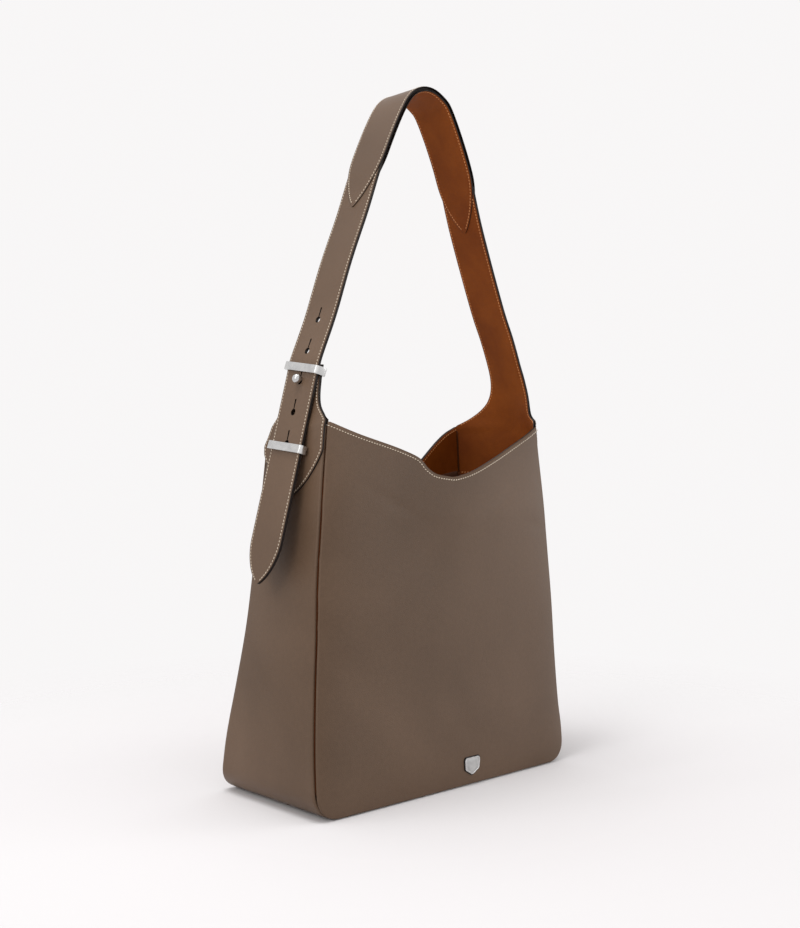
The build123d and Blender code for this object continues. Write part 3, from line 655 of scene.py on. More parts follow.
def make_gusset(name, side):
    """The left (-1) or right (1) gusset with its corner, its long edges rolled into the seams."""
    grid, normal = gusset_grid(side, 0.0, ROLL_REACH)
    return skin_object(name, grid, roll_sides(grid, normal), [TAUPE, EDGE], LEATHER, (side, 0, 0))


def make_base():
    """The flat base panel, its long edges rolled up into the seams."""
    ends = (-BASE_HALF, BASE_HALF)
    xs = np.linspace(*ends, 61)
    depths = np.interp(xs, ends, (seam_depth(0, -1), seam_depth(0, 1))) - ROLL_REACH
    shares = np.linspace(-1, 1, 25)
    grid = np.array([[(x, share * depth, 0.0) for share in shares] for x, depth in zip(xs, depths)])
    strips = roll_sides(grid, np.array([0.0, 0.0, -1.0]))
    return skin_object("base_panel_skin", grid, strips, [TAUPE, EDGE], LEATHER, (0, 0, -1))


FACING_FOOT = smooth_curve(
    ((-130, 284), (-100, 279), (-75, 268), (-50, 257), (-20, 249), (10, 246), (40, 249), (60, 255), (80, 265),
     (100, 278), (130, 284)), 2.0)
GUSSET_FOOT = 284.0
FACING_INSET = 3.4
LINING_INSET = 5.0
FACING_IN = LEATHER + 0.1
FACING_THICK = 1.4
LINING_IN = FACING_IN + FACING_THICK + 0.2
LINING_THICK = 0.5


def make_panel_facing(name, side):
    """The cognac band inside a panel's rim."""
    grid = panel_grid(side, FACING_INSET, FACING_IN, 18, FACING_FOOT)
    grid[:, :, 1] *= side
    return skin_object(name, grid, [], [COGNAC, EDGE], FACING_THICK, (0, side, 0))


def place_cloth(name, grid, thickness, face_way, node):
    """A cloth piece from a grid, thickened and placed."""
    cloth = skin_object(name, grid, [], [LINING_AND_SHADE, LINING_AND_SHADE], thickness, face_way)
    place_piece(cloth, "lining", node)


# The zip pocket's plane, inside the back of the bag
ZIP_Z = 205.0
PLANE_FOOT = 70.5
PLANE_LEAN = 22.0 / 336.0
LINING_DEPTH = 2.75


def zip_plane(z, depth):
    """Y of the zip's flat patch of lining at height z, this deep from the outside."""
    return PLANE_FOOT - z * PLANE_LEAN - depth


def fade(distance, start, stop):
    """1 inside start, easing to 0 at stop."""
    return ease((stop - distance) / (stop - start))


def panel_lining_grid(side):
    """Points of a panel's cloth lining, up to just under the facing's stitched edge; flat behind the zip."""
    grid = panel_grid(side, LINING_INSET, LINING_IN, 48, top_line=FACING_FOOT + (0.0, 4.0))
    if side > 0:
        x, z = grid[:, :, 0], grid[:, :, 2]
        patch = fade(np.abs(x), 92.0, 122.0) * fade(np.abs(z - ZIP_Z), 13.0, 43.0)
        grid[:, :, 1] = grid[:, :, 1] * (1 - patch) + zip_plane(z, LINING_DEPTH) * patch
    grid[:, :, 1] *= side
    return grid


def gusset_lining_grid(side):
    """Points of a gusset's cloth lining, up to just under the facing."""
    grid, _ = gusset_grid(side, LINING_IN, LINING_IN + LINING_THICK + 0.6)
    return grid[grid[:, 0, 2] < GUSSET_FOOT + 5]


# ---------------------------------------------------------------- ribbons: straps, necks and the shoulder piece

SEAM_TUCK = 1.0
OUTSIDE = [TAUPE, EDGE]
INSIDE = [COGNAC, EDGE]


class Ribbon:
    """A leather band along a line in XZ: its outer face's middle line, half width, sideways shift and curl across."""

    def __init__(self, path, half, curl=None):
        self.path = np.asarray(path, float)
        self.half = np.asarray(half, float)
        self.curl = np.zeros(len(path)) if curl is None else np.asarray(curl, float)
        self.shift = np.zeros(len(path))
        tangent = unit(np.gradient(self.path, axis=0))
        self.out = np.stack([-tangent[:, 1], tangent[:, 0]], axis=1)

    def limit(self, front, back):
        """Sets how far each row reaches to the front (-Y) and to the back (+Y)."""
        self.half = (front + back) / 2
        self.shift = (back - front) / 2

    def point(self, row, y, depth):
        """A point this far across and this deep inside the outer face."""
        x, z = self.path[row] - self.out[row] * depth
        return (x - math.copysign(self.curl[row] * y * y, x), y, z)

    def grid(self, depth, edge_round):
        """Rows of points across the band at this depth; edge_round softens its long edges."""
        near_edge = np.array([0.0, 0.45, 1.1, 2.4])
        rows = []
        for row, half in enumerate(self.half):
            scale = min(1.0, half / 7.0)
            middle = np.linspace(-1, 1, 11)[1:-1] * (half - 3.6 * scale)
            ys = np.concatenate([-(half - near_edge * scale), middle, (half - near_edge * scale)[::-1]])
            points = []
            for y in ys:
                left = max(0.0, 1.0 - (half - abs(y)) / max(1.4 * scale, 1e-6))
                points.append(self.point(row, y + self.shift[row], depth + edge_round * left**2))
            rows.append(points)
        return np.array(rows)

    def solid(self, name, depth, thickness, materials, inside=False, edge_round=0.4):
        """A closed band between two depths; its face, outside or inside, has painted edges."""
        outer = self.grid(depth, 0.0 if inside else edge_round)
        inner = self.grid(depth + thickness, -edge_round if inside else 0.0)
        return painted_band(name, outer, inner, materials, inside)

    def seam(self, side, inset, depth, lowest=None, inside=False):
        """Points and normals of a line this far in from one long edge, down to a lowest height."""
        points = []
        normals = []
        for row in range(len(self.path)):
            if self.half[row] <= inset + 1.5 or (lowest is not None and self.path[row][1] < lowest):
                continue
            y = self.shift[row] + side * (self.half[row] - inset)
            points.append(self.point(row, y, depth))
            way = -1 if inside else 1
            slope = 2 * self.curl[row] * y
            normals.append(unit((self.out[row][0], slope, self.out[row][1])) * way)
        return np.array(points), np.array(normals)


def table_of(z, *pairs):
    """Reads a smooth table of (height, value) pairs."""
    return read_curve(smooth_curve(pairs, 1.0), z)


# Heights where the necks leave the gussets, where the gusset's curl ends and where the plain strap begins
NECK_Z = 330.0
CURL_END = 336.0
STRAP_Z = 400.0
NECK_TOP = 384.0


# Half widths of the necks at each height, from the point of the sewn tab to the plain strap
LEFT_TAB = ((255, 0.5), (265.5, 0.5), (271, 10), (276, 17), (284, 25.5), (294, 33.5), (304, 40))
LEFT_FRONT = LEFT_TAB + (
    (316, 45), (330, 45), (334, 43), (340, 36.5), (345.5, 30.5), (350.5, 27), (357, 24.5), (365, 23), (376, 22),
    (396, STRAP_HALF),
)
LEFT_BACK = LEFT_TAB + (
    (309, 41), (313, 41), (320, 37), (330.5, 32), (339, 27), (345, 24.5), (352, 23), (365, 22), (396, STRAP_HALF),
)


def left_neck_ribbon(low_z, lift):
    """The left neck from low_z to inside the ring, lying this far outside the gusset below the rim."""
    zs = np.concatenate([np.linspace(low_z, 300, 24)[:-1], np.linspace(300, NECK_TOP, 46)])
    xs = []
    for z in zs:
        if z < NECK_Z:
            xs.append(-float(seam_x(z, -1)) - float(left_bow(z)) - lift)
        else:
            start = -float(seam_x(NECK_Z, -1)) - float(left_bow(NECK_Z)) - lift
            end = -122.2 + 3.4 + (1.5 - lift)
            share = (z - NECK_Z) / (381 - NECK_Z)
            lean = 3.2 * math.sin(math.pi * min(share, 1.0))
            xs.append(start + (end - start) * share + lean * 0.35)
    edge = seam_depth(zs, -1) - SEAM_TUCK
    curl = np.where(zs < CURL_END, left_bow(zs) / (seam_depth(zs, -1) - ROLL_REACH) ** 2, 0.0)
    ribbon = Ribbon(np.stack([xs, zs], axis=1), edge, curl)
    ribbon.limit(np.minimum(table_of(zs, *LEFT_FRONT), edge), np.minimum(table_of(zs, *LEFT_BACK), edge))
    return ribbon


def loop_path():
    """The strap's outer middle line: up from the tail's tip, over the top and down to the right tab's foot."""
    tail = [(tail_x(z), z) for z in (194.0, 230.0, 270.0, 310.0, 350.0, 378.0, 391.0)]
    tab = []
    for z in (330.0, 322.0, 312.0, 302.0, 292.0, 282.0, 275.0, 269.0):
        tab.append((float(seam_x(z, 1)) + float(right_bow(z)) + PLY_OUT + 0.1, z))
    return smooth_curve(tail + list(LOOP) + list(RIGHT_NECK) + tab, 2.6)


LOOP_LINE = loop_path()
APEX = int(np.argmax(LOOP_LINE[:, 1]))


def left_strap_ribbon():
    """The strap from the tail's point to its highest place."""
    path = LOOP_LINE[: APEX + 1]
    run = lengths(path)
    half = STRAP_HALF * (1 - (1 - np.clip(run / 38.0, 0, 1)) ** 1.9) ** 0.72
    return Ribbon(path, np.maximum(half, 0.8))


RIGHT_TAB = ((255, 0.5), (265.5, 0.5), (272, 11), (279, 21), (288, 31), (302, 45), (312, 52), (320, 56))
RIGHT_BACK = RIGHT_TAB + (
    (328, 57), (335, 54.5), (341, 47.5), (346, 42), (352, 36), (360, 30), (370, 26), (380, 23.5), (392, 22),
    (400, STRAP_HALF), (420, STRAP_HALF),
)
RIGHT_FRONT = RIGHT_TAB + (
    (330, 57), (335.5, 55.5), (338.5, 49), (341.5, 38.5), (344.5, 32.5), (349, 29.5), (358, 27), (372, 24),
    (386, 22.5), (400, STRAP_HALF), (420, STRAP_HALF),
)


def right_strap_ribbon(foot_z):
    """The strap from its highest place down the right leg and neck to foot_z."""
    path = LOOP_LINE[APEX:]
    z = path[:, 1]
    edge = np.where(z < 345, seam_depth(z, 1) - SEAM_TUCK, 100.0)
    on_gusset = right_bow(z) / (seam_depth(z, 1) - ROLL_REACH) ** 2
    above = table_of(z, (320, 0.0096), (330, 0.0096), (340, 0.0093), (350, 0.0080), (360, 0.0055), (372, 0.0022),
                     (388, 0.0), (420, 0.0))
    free = ease((z - GUSSET_TOP) / 12.0)
    curl = np.where(z < STRAP_Z, on_gusset * (1 - free) + above * free, 0.0)
    front = np.minimum(np.where(z < STRAP_Z, table_of(z, *RIGHT_FRONT), STRAP_HALF), edge)
    back = np.minimum(np.where(z < STRAP_Z, table_of(z, *RIGHT_BACK), STRAP_HALF), edge)
    keep = z >= foot_z
    ribbon = Ribbon(path[keep], front[keep], curl[keep])
    ribbon.limit(front[keep], back[keep])
    return ribbon


SHOULDER_TIPS = (533.0, 526.0)
SHOULDER_HALF = 23.6
SHOULDER_PLY = 0.9


def shoulder_ribbon():
    """The leaf-ended overlay round the top of the strap."""
    up = np.argmin(np.abs(LOOP_LINE[:APEX, 1] - SHOULDER_TIPS[0]))
    down = APEX + np.argmin(np.abs(LOOP_LINE[APEX:, 1] - SHOULDER_TIPS[1]))
    path = smooth_curve(LOOP_LINE[up:down + 1][::4], 2.0)
    run = lengths(path)
    end = np.minimum(run, run[-1] - run)
    half = SHOULDER_HALF * np.sin(0.5 * math.pi * np.clip(end / 56.0, 0, 1)) ** 0.72
    return Ribbon(path, np.maximum(half, 0.7))


def keyhole_cutter(ribbon, heights):
    """Prisms in the shape of keyholes, standing through the strap at these heights."""
    vertices = []
    faces = []
    outline = []
    for a in np.linspace(math.radians(102), math.radians(438), 15):
        outline.append((3.1 * math.cos(a), 3.1 * math.sin(a)))
    outline += [(1.0, 12.0), (-1.0, 12.0)]
    for z in heights:
        row = int(np.argmin(np.abs(ribbon.path[:, 1] - z)))
        along = unit(ribbon.path[row + 1] - ribbon.path[row - 1])
        faces += ring_faces(2, len(outline), len(vertices))
        for depth in (6.0, -6.0):
            for across, up in outline:
                x, height = ribbon.path[row] + along * up + ribbon.out[row] * depth
                vertices.append((x, across, height))
    return mesh_object("cutter", vertices, faces, [EDGE], smooth=False)


def cut(obj, cutter):
    """Cuts the cutter's shape out of obj for good."""
    modifier = obj.modifiers.new("cut", "BOOLEAN")
    modifier.operation = "DIFFERENCE"
    modifier.solver = "EXACT"
    modifier.object = cutter
    modifier.material_mode = "TRANSFER"
    graph = bpy.context.evaluated_depsgraph_get()
    mesh = bpy.data.meshes.new_from_object(obj.evaluated_get(graph))
    obj.modifiers.remove(modifier)
    old = obj.data
    obj.data = mesh
    bpy.data.meshes.remove(old)


# ---------------------------------------------------------------- assemble the bag

for word, _, side in PANELS:
    place_piece(make_panel(f"{word}_panel_skin", side), "leather_taupe", f"{word}_panel")
for word, side in GUSSETS:
    place_piece(make_gusset(f"gusset_{word}_skin", side), "leather_taupe", f"gusset_{word}")
place_piece(make_base(), "leather_taupe", "base_panel")
for word, _, side in PANELS:
    place_piece(make_panel_facing(f"facing_{word}_band", side), "leather_cognac", f"facing_{word}")
for word, _, side in PANELS:
    place_cloth(f"lining_{word}_cloth", panel_lining_grid(side), LINING_THICK, (0, side, 0), f"lining_{word}")
for word, side in GUSSETS:
    place_cloth(f"lining_{word}_cloth", gusset_lining_grid(side), LINING_THICK, (side, 0, 0), f"lining_{word}")

# Left neck: the sewn shield tab and neck outside, the facing and neck inside
TAB_FOOT = 265.6
FACING_TUCK = 3.0
left_neck = left_neck_ribbon(TAB_FOOT, PLY_OUT + 0.1)
left_inside = left_neck_ribbon(GUSSET_FOOT, -LEATHER - 0.1)
inside_rows = left_inside.path[:, 1]
tucked = seam_depth(inside_rows, -1) - FACING_TUCK
front_reach = np.where(inside_rows < NECK_Z, tucked, np.minimum(table_of(inside_rows, *LEFT_FRONT), tucked + 2.0))
back_reach = np.where(inside_rows < 309, tucked, np.minimum(table_of(inside_rows, *LEFT_BACK), tucked))
left_inside.limit(front_reach, back_reach)
behind_neck = read_curve(left_neck.path[:, ::-1], inside_rows) + 1.8
left_inside.path[:, 0] = np.where(inside_rows > CURL_END, behind_neck, left_inside.path[:, 0])
place_piece(left_neck.solid("neck_left_tab", 0.0, PLY_OUT, OUTSIDE), "leather_taupe", "neck_left_outer")
place_piece(left_inside.solid("facing_left_band", 0.0, FACING_THICK, INSIDE, inside=True), "leather_cognac",
            "facing_left", "neck_left_inner")

# Strap, its plies cut with keyholes
KEYHOLES = (313.5, 342.0, 370.5, 398.0, 426.0)
left_strap = left_strap_ribbon()
left_outer = left_strap.solid("strap_left_outer_ply", 0.0, PLY_OUT, OUTSIDE)
left_inner = left_strap.solid("strap_left_inner_ply", PLY_OUT + PLY_GAP, PLY_IN, INSIDE, inside=True)
cutter = keyhole_cutter(left_strap, KEYHOLES)
cut(left_outer, cutter)
cut(left_inner, cutter)
bpy.data.objects.remove(cutter)
place_swinging(left_outer, "leather_taupe", "strap_tail_outer", "strap_left_outer")
place_swinging(left_inner, "leather_cognac", "strap_tail_inner", "strap_left_inner")

right_strap = right_strap_ribbon(TAB_FOOT)
right_inside = right_strap_ribbon(GUSSET_FOOT)
inside_rows = right_inside.path[:, 1]
tucked = seam_depth(inside_rows, 1) - FACING_TUCK
front_reach = np.where(inside_rows < NECK_Z, tucked, right_inside.half - right_inside.shift - 0.1)
back_reach = np.where(inside_rows < NECK_Z, tucked, right_inside.half + right_inside.shift - 0.1)
room = np.maximum(tucked + 1.5, 0)
right_inside.limit(np.minimum(front_reach, room), np.minimum(back_reach, room))
inner_depth = PLY_OUT + PLY_GAP + (LEATHER + 0.15) * ease((RIM_Z + 40 - inside_rows) / 40.0)
right_inside.path = right_inside.path - right_inside.out * inner_depth[:, None]
place_swinging(right_strap.solid("strap_right_outer_ply", 0.0, PLY_OUT, OUTSIDE), "leather_taupe",
               "neck_right_outer", "strap_right_outer")
place_swinging(right_inside.solid("strap_right_inner_ply", 0.0, PLY_IN, INSIDE, inside=True), "leather_cognac",
               "facing_right", "neck_right_inner", "strap_right_inner")

LEAF_UP = -SHOULDER_PLY - PLY_GAP
LEAF_UNDER = PLY_OUT + PLY_IN + 0.1
shoulder = shoulder_ribbon()
place_piece(shoulder.solid("shoulder_outer_leaf", LEAF_UP, SHOULDER_PLY, OUTSIDE), "leather_taupe",
            "shoulder_outer", body="strap")
place_piece(shoulder.solid("shoulder_inner_leaf", LEAF_UNDER, SHOULDER_PLY, INSIDE, inside=True), "leather_cognac",
            "shoulder_inner", body="strap")


# ---------------------------------------------------------------- seam bindings and stitching

# The bound seams in the corners: full where the linings meet, finer behind the facings
BINDING_LOW = (3.6, 1.35)
BINDING_HIGH = (3.4, 0.8)


def bind_seam(name, side_x, side_y, heights, inset, radius):
    """A binding up one corner of the inside, along these heights."""
    line = [(side_x * (float(seam_x(z, side_x)) - inset), side_y * (float(seam_depth(z, side_x)) - inset), z)
            for z in heights]
    place_piece(tube(name, line, radius, BINDING), "leather_cognac")


for side_x, word_x in ((-1, "left"), (1, "right")):
    for side_y, word_y in ((-1, "front"), (1, "back")):
        top = RIM_Z - (26 if side_x < 0 < side_y else 5)
        bind_seam(f"seam_binding_{word_y}_{word_x}_low", side_x, side_y,
                  np.linspace(CORNER_R, GUSSET_FOOT + 3, 50), *BINDING_LOW)
        bind_seam(f"seam_binding_{word_y}_{word_x}", side_x, side_y,
                  np.linspace(GUSSET_FOOT + 1, top, 12), *BINDING_HIGH)

RIM_STITCH = 2.9
EDGE_STITCH = 2.3
FOOT_STITCH = 2.6
INSIDE_FACE = FACING_IN + FACING_THICK
STRAP_INSIDE = PLY_OUT + PLY_IN + PLY_GAP


def panel_stitch(name, line, side, inside):
    """A row of stitches along a line of (x, z) points on a panel's outer face, or inside on its facing."""
    share = line[:, 0] / RIM_HALF
    widths = np.where(share < 0, seam_x(line[:, 1], -1), seam_x(line[:, 1], 1))
    xs = share * (widths - (4.2 if inside else 2.0))
    ys = side * (panel_y(xs, line[:, 1], side) - (INSIDE_FACE if inside else 0.0))
    points = np.stack([xs, ys, line[:, 1]], axis=1)
    normals = np.tile([0.0, float(-side if inside else side), 0.0], (len(points), 1))
    row = stitch_row(name, points, normals, TAN if inside else CREAM)
    place_piece(row, "leather_cognac" if inside else "leather_taupe")


def below(line, drop):
    """A line this far inside a line of (x, z) points, square to it."""
    tangent = unit(np.gradient(line, axis=0))
    return line + np.stack([tangent[:, 1], -tangent[:, 0]], axis=1) * drop


def gusset_stitch(name, side):
    """The row of stitches across a gusset at its facing's foot."""
    z = GUSSET_FOOT + FOOT_STITCH
    depth = float(seam_depth(z, side))
    ys = np.linspace(-1, 1, 60) * (depth - 5.0)
    out = float(bow(z, side))
    reach = depth - ROLL_REACH
    xs = float(seam_x(z, side)) + out * (1 - (ys / reach) ** 2) - INSIDE_FACE - 0.1
    normals = unit(np.stack([np.full(60, -side), -2 * out * ys / reach**2, np.zeros(60)], axis=1))
    points = np.stack([side * xs, ys, np.full(60, z)], axis=1)
    place_piece(stitch_row(name, points, normals, TAN), "leather_cognac")


for word, _, side in PANELS:
    rim_row = below(RIM_LINES[side], RIM_STITCH)
    panel_stitch(f"rim_stitch_{word}", rim_row, side, False)
    panel_stitch(f"rim_stitch_{word}_inside", rim_row, side, True)
    panel_stitch(f"facing_stitch_{word}", FACING_FOOT + (0.0, FOOT_STITCH), side, True)
for word, side in GUSSETS:
    gusset_stitch(f"facing_stitch_{word}", side)


def edge_stitches(name, ribbon, depth, inside=False, lowest=None):
    """Stitches along both long edges of a ribbon: cream outside, tan inside."""
    rows = []
    for side in (-1, 1):
        points, normals = ribbon.seam(side, EDGE_STITCH, depth, lowest, inside)
        rows.append(stitch_row(f"{name}_{side}", points, normals, TAN if inside else CREAM))
    return join(name, rows)


above_rim = RIM_Z - 1
place_swinging(edge_stitches("strap_left_stitch", left_strap, 0.0), "leather_taupe")
place_swinging(edge_stitches("strap_left_stitch_inside", left_strap, STRAP_INSIDE, True), "leather_cognac")
place_swinging(edge_stitches("strap_right_stitch", right_strap, 0.0), "leather_taupe")
place_swinging(edge_stitches("strap_right_stitch_inside", right_inside, PLY_IN, True, above_rim), "leather_cognac")
place_piece(edge_stitches("neck_left_stitch", left_neck, 0.0), "leather_taupe")
place_piece(edge_stitches("neck_left_stitch_inside", left_inside, FACING_THICK, True, above_rim), "leather_cognac")
place_piece(edge_stitches("shoulder_stitch", shoulder, LEAF_UP), "leather_taupe", body="strap")
place_piece(edge_stitches("shoulder_stitch_inside", shoulder, LEAF_UNDER + SHOULDER_PLY, True), "leather_cognac",
            body="strap")


# ---------------------------------------------------------------- hardware

TAIL_OUT = np.array([-math.cos(TAIL_LEAN), 0.0, math.sin(TAIL_LEAN)])
TAIL_UP = np.array([math.sin(TAIL_LEAN), 0.0, math.cos(TAIL_LEAN)])
ACROSS = np.array([0.0, 1.0, 0.0])


KEEPER_TALL = 7.4


def mirrored(points):
    """A quarter of an outline, mirrored twice into the whole."""
    points = points + [(-a, b) for a, b in reversed(points)]
    return points + [(-a, -b) for a, b in points]


def keeper(node, chamfer, bevel, wall, tilt):
    """A bevelled rectangular frame round the strap's tail in its CAD node's place, tilted a little."""
    low, high = (np.array(corner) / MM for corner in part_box(node))
    centre = (low + high) / 2
    depth = ((high - low)[0] - KEEPER_TALL * math.sin(TAIL_LEAN)) / math.cos(TAIL_LEAN)
    half_y = STRAP_HALF + 3.4
    room = depth / 2 - wall
    hole_y = STRAP_HALF + 0.9
    outline = mirrored([(depth / 2, half_y - chamfer), (depth / 2 - chamfer, half_y)])
    hole = mirrored([(room, hole_y - 0.4), (room - 0.4, hole_y)])
    tilted = ACROSS * math.cos(tilt) + TAIL_UP * math.sin(tilt)
    upright = TAIL_UP * math.cos(tilt) - ACROSS * math.sin(tilt)
    rings = []
    for ring, level in ((outline, -0.5), (outline, 0.5), (hole, 0.5), (hole, -0.5)):
        middle = centre + upright * level * KEEPER_TALL
        rings.append([middle + TAIL_OUT * out + tilted * across for out, across in ring])
    obj = ring_object(f"{node}_frame", rings, [SILVER], capped=False)
    rounding = obj.modifiers.new("rounding", "BEVEL")
    rounding.width = bevel * MM
    rounding.segments = 4
    rounding.limit_method = "ANGLE"
    rounding.angle_limit = math.radians(25)
    place_piece(obj, "metal", node)


keeper("upper_ring", 2.6, 1.2, 3.0, math.radians(8))
keeper("lower_keeper", 2.2, 1.0, 2.5, math.radians(6))

STUD_Z = 371.0
STUD_AT = np.array([tail_x(STUD_Z), 0.0, STUD_Z])
BALL_R = 4.25
ball_turns = np.radians([-45, -30, -12, 8, 25, 42, 56, 66])
stud_profile = [(0, -6.6), (1.8, -6.6), (1.8, 0.1), (3.0, 0.12), (3.0, 0.3)]
stud_profile += [(BALL_R * math.cos(a), 3.6 + BALL_R * math.sin(a)) for a in ball_turns]
stud_profile += [(1.6, 7.5), (1.2, 7.35), (0, 7.3)]
place_piece(lathe("strap_stud_ball", stud_profile, STUD_AT, TAIL_OUT), "metal", "strap_stud")


def round_outline(corners, radius, steps=5):
    """A convex outline with its corners rounded."""
    points = []
    count = len(corners)
    for k in range(count):
        before, corner, after = (np.array(corners[(k + d) % count], float) for d in (-1, 0, 1))
        first = corner + unit(before - corner) * radius
        last = corner + unit(after - corner) * radius
        for t in np.linspace(0, 1, steps):
            points.append(first * (1 - t) ** 2 + 2 * corner * t * (1 - t) + last * t * t)
    return np.array(points)


# Badge: a plain silver shield in a dark setting, sitting on the front panel's swell
BADGE_X = 18.5
BADGE_Z = 18.0
SHIELD = ((-8.4, 7.8), (8.4, 7.8), (9.9, 5.4), (9.0, -3.4), (0.0, -8.6), (-9.0, -3.4), (-9.9, 5.4))


def badge_loop(grow, radius, height):
    """The shield's outline, grown, at this height over the front panel."""
    y0 = float(panel_y(BADGE_X, BADGE_Z, -1))
    lean_x = (float(panel_y(BADGE_X + 8, BADGE_Z, -1)) - float(panel_y(BADGE_X - 8, BADGE_Z, -1))) / 16.0
    lean_z = (float(panel_y(BADGE_X, BADGE_Z + 7, -1)) - float(panel_y(BADGE_X, BADGE_Z - 7, -1))) / 14.0
    outline = round_outline(SHIELD, radius)
    outline = outline * (1 + grow / 9.5)
    return [(BADGE_X + u, -(y0 + lean_x * u + lean_z * v + height), BADGE_Z + v) for u, v in outline]


setting_levels = ((1.0, 1.6, -1.2), (1.0, 1.6, 0.3), (0.5, 1.5, 0.5))
setting = ring_object("badge_setting", [badge_loop(*level) for level in setting_levels], [EDGE], smooth=False)
place_piece(setting, "metal", "badge_plate")
shield_levels = ((0.0, -0.6), (0.0, 1.1), (-0.35, 1.5), (-1.3, 1.5), (-1.6, 1.1), (-2.2, 1.15), (-4.0, 1.3))
shield_loops = [badge_loop(grow, 1.4, height) for grow, height in shield_levels]
shield = ring_object("badge_shield", shield_loops, [SILVER, BRUSHED], [0, 0, 0, 0, 1, 1, 1], smooth=False)
place_piece(shield, "metal", "badge_face")


# Magnetic snap: a disc on each facing
def snap_place(node, side):
    """Where a snap's disc sits on its facing."""
    low, high = (np.array(corner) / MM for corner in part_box(node))
    x, z = (low[0] + high[0]) / 2, (low[2] + high[2]) / 2
    return np.array([x, side * (float(panel_y(x, z, side)) - INSIDE_FACE), z])


disc = [(0, -0.8), (9.0, -0.8), (9.0, 0.9), (8.7, 1.5), (8.0, 1.9)]
socket = disc + [(5.2, 2.0), (4.6, 1.5), (3.6, 1.4), (3.3, 0.9), (0, 0.9)]
stud = disc + [(4.2, 1.9), (3.1, 2.1), (3.0, 3.4), (2.5, 3.9), (0, 4.0)]
for node, profile, side in (("snap_socket", socket, -1), ("snap_stud", stud, 1)):
    place_piece(lathe(f"{node}_disc", profile, snap_place(node, side), (0, -side, 0)), "metal", node)


# Zip pocket on the back lining: tape, leather frame and separate teeth
def on_zip_plane(x, up, depth):
    """A point of the zip's plane, up from its middle line."""
    return (x, zip_plane(ZIP_Z + up, depth), ZIP_Z + up)


def zip_loop(half_x, half_z, radius, depth):
    """A rounded rectangle on the zip's plane."""
    corners = ((-half_x, -half_z), (half_x, -half_z), (half_x, half_z), (-half_x, half_z))
    return [on_zip_plane(u, v, depth) for u, v in round_outline(corners, radius)]


frame_section = ((86.0, 12.0, 3.4, 3.3), (86.0, 12.0, 3.4, 4.1), (85.5, 11.5, 3.2, 4.4), (80.5, 6.5, 2.4, 4.4),
                 (80.0, 6.0, 2.2, 4.1), (80.0, 6.0, 2.2, 3.3))
frame_loops = [zip_loop(*size) for size in frame_section]
place_piece(ring_object("zip_frame_band", frame_loops, [COGNAC], capped=False), "leather_cognac", "zip_frame")
seam_line = np.array(zip_loop(83.4, 9.4, 3.0, 4.4))
seam_line = np.vstack([seam_line, seam_line[:1]])
seam_normals = np.tile([0.0, -1.0, 0.0], (len(seam_line), 1))
place_piece(stitch_row("zip_frame_stitch", seam_line, seam_normals, TAN), "leather_cognac")
tape_xs = np.linspace(-82, 82, 42)
tape = np.array([[on_zip_plane(x, up, 3.28) for x in tape_xs] for up in np.linspace(-8, 8, 7)])
place_cloth("zip_tape_cloth", tape, 0.3, (0, 1, 0), "zip_tape")

# Separate teeth, in turn from the lower and the upper tape; each box is eight corners and six quads
TOOTH_PITCH = 1.3
BOX = ((0, 1, 3, 2), (4, 6, 7, 5), (0, 4, 5, 1), (2, 3, 7, 6), (0, 2, 6, 4), (1, 5, 7, 3))
teeth = []
tooth_faces = []
for index, x in enumerate(np.arange(-78.0, 78.1, TOOTH_PITCH)):
    reach = (-0.55, 2.0) if index % 2 else (-2.0, 0.55)
    tooth_faces += [tuple(len(teeth) + k for k in quad) for quad in BOX]
    for dx in (-0.48, 0.48):
        for up in reach:
            for depth in (3.5, 4.5):
                teeth.append(on_zip_plane(x + dx, up, depth))
place_piece(mesh_object("zip_teeth_row", teeth, tooth_faces, [GUNMETAL], smooth=False), "zip_metal", "zip_teeth")

# Cloth bag behind the zip, pocket on the front lining and the cloth over the base board
bag_x, bag_z = np.meshgrid(np.linspace(-76, 76, 30), np.linspace(118, 198, 18))
bag_y = panel_y(bag_x, bag_z, 1) - LEATHER - 0.25
place_cloth("zip_pocket_cloth", np.stack([bag_x, bag_y, bag_z], axis=2), 0.5, (0, 1, 0), "zip_pocket_bag")
slip_x, slip_z = np.meshgrid(np.linspace(-75, 75, 30), np.linspace(60, 170, 24))
slack = 3.2 * np.cos(slip_x / 75 * math.pi / 2) * np.clip((slip_z - 60) / 110, 0, 1) ** 1.5
slip_y = -(panel_y(slip_x, slip_z, -1) - LINING_IN - LINING_THICK - 0.3 - slack)
place_cloth("slip_pocket_cloth", np.stack([slip_x, slip_y, slip_z], axis=2), 0.6, (0, -1, 0), "slip_pocket")
base_low, base_high = (np.array(corner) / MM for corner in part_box("base_lining"))
base_x, base_y = np.meshgrid(np.linspace(base_low[0] + 1, base_high[0] - 1, 40),
                             np.linspace(base_low[1] + 1.5, base_high[1] - 1.5, 20))
ripple = 0.35 * np.sin(base_x / 17.0 + base_y / 23.0) + 0.25 * np.sin(base_y / 11.0 - base_x / 31.0)
base_z = base_high[2] + 0.5 + ripple
place_cloth("base_lining_cloth", np.stack([base_x, base_y, base_z], axis=2), 0.5, (0, 0, 1), "base_lining")


# ---------------------------------------------------------------- camera, light and floor

def soft_light(name, place, aim, size, power):
    """A large square area light."""
    light = bpy.data.lights.new(name, "AREA")
    light.size = size
    light.energy = power
    obj = bpy.data.objects.new(name, light)
    obj.location = place
    obj.rotation_euler = (Vector(aim) - Vector(place)).to_track_quat("-Z", "Y").to_euler()
    bpy.context.scene.collection.objects.link(obj)


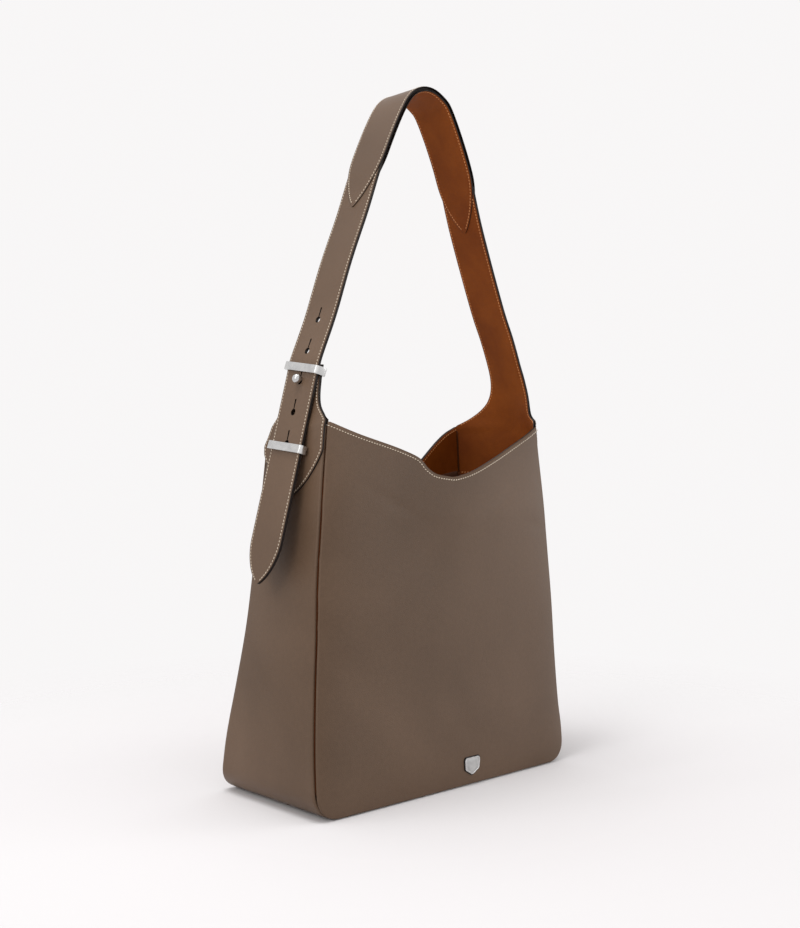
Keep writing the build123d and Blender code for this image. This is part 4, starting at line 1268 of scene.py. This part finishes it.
def make_stage():
    """A pale floor, an even pale surround, soft lights and the camera."""
    bpy.ops.mesh.primitive_plane_add(size=12, location=(0, 0, -0.0005))
    floor = bpy.context.object
    floor.name = "floor"
    look = Look("pale_floor")
    look.finish(Base_Color=(0.70, 0.685, 0.69, 1), Roughness=0.9, Specular_IOR_Level=0.1)
    reach = look.add("VectorMath")
    reach.operation = "LENGTH"
    look.put(reach.inputs[0], look.place)
    share = look.span(reach.outputs["Value"], From_Min=0.25, From_Max=0.75)
    mix = look.add("MixShader", Fac=share)
    look.put(mix.inputs[1], look.shader.outputs["BSDF"])
    look.put(mix.inputs[2], look.add("BsdfTransparent").outputs["BSDF"])
    look.put(look.tree.nodes["Material Output"].inputs["Surface"], mix.outputs["Shader"])
    floor.data.materials.append(look.material)
    bpy.context.scene.view_settings.view_transform = "Standard"
    world = bpy.data.worlds.new("surround")
    bpy.context.scene.world = world
    world.use_nodes = True
    background = world.node_tree.nodes["Background"]
    background.inputs["Color"].default_value = (1.0, 0.985, 0.985, 1)
    background.inputs["Strength"].default_value = 0.94
    soft_light("key", (-2.1, -0.45, 1.2), (0, 0, 0.2), 1.0, 13)
    soft_light("fill", (2.0, -1.35, 0.6), (0.1, 0, 0.12), 1.0, 12)
    soft_light("top", (-0.5, 0.1, 2.0), (0, 0, 0.5), 0.9, 16)
    camera = bpy.data.cameras.new("camera")
    camera.sensor_fit = "VERTICAL"
    camera.sensor_height = 36.0
    camera.lens = 46.48
    obj = bpy.data.objects.new("camera", camera)
    obj.location = (-0.7814, -0.8390, 0.3030)
    obj.rotation_euler = Vector((0.6796, 0.7336, -0.0061)).to_track_quat("-Z", "Y").to_euler()
    bpy.context.scene.collection.objects.link(obj)
    bpy.context.scene.camera = obj


make_stage()

for node, material in (
    ("keeper_post", SILVER), ("stud_screw", SILVER), ("zip_slider", GUNMETAL), ("zip_pull", GUNMETAL),
    ("base_board", BOARD),
):
    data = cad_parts[node].data
    data.materials.clear()
    data.materials.append(material)
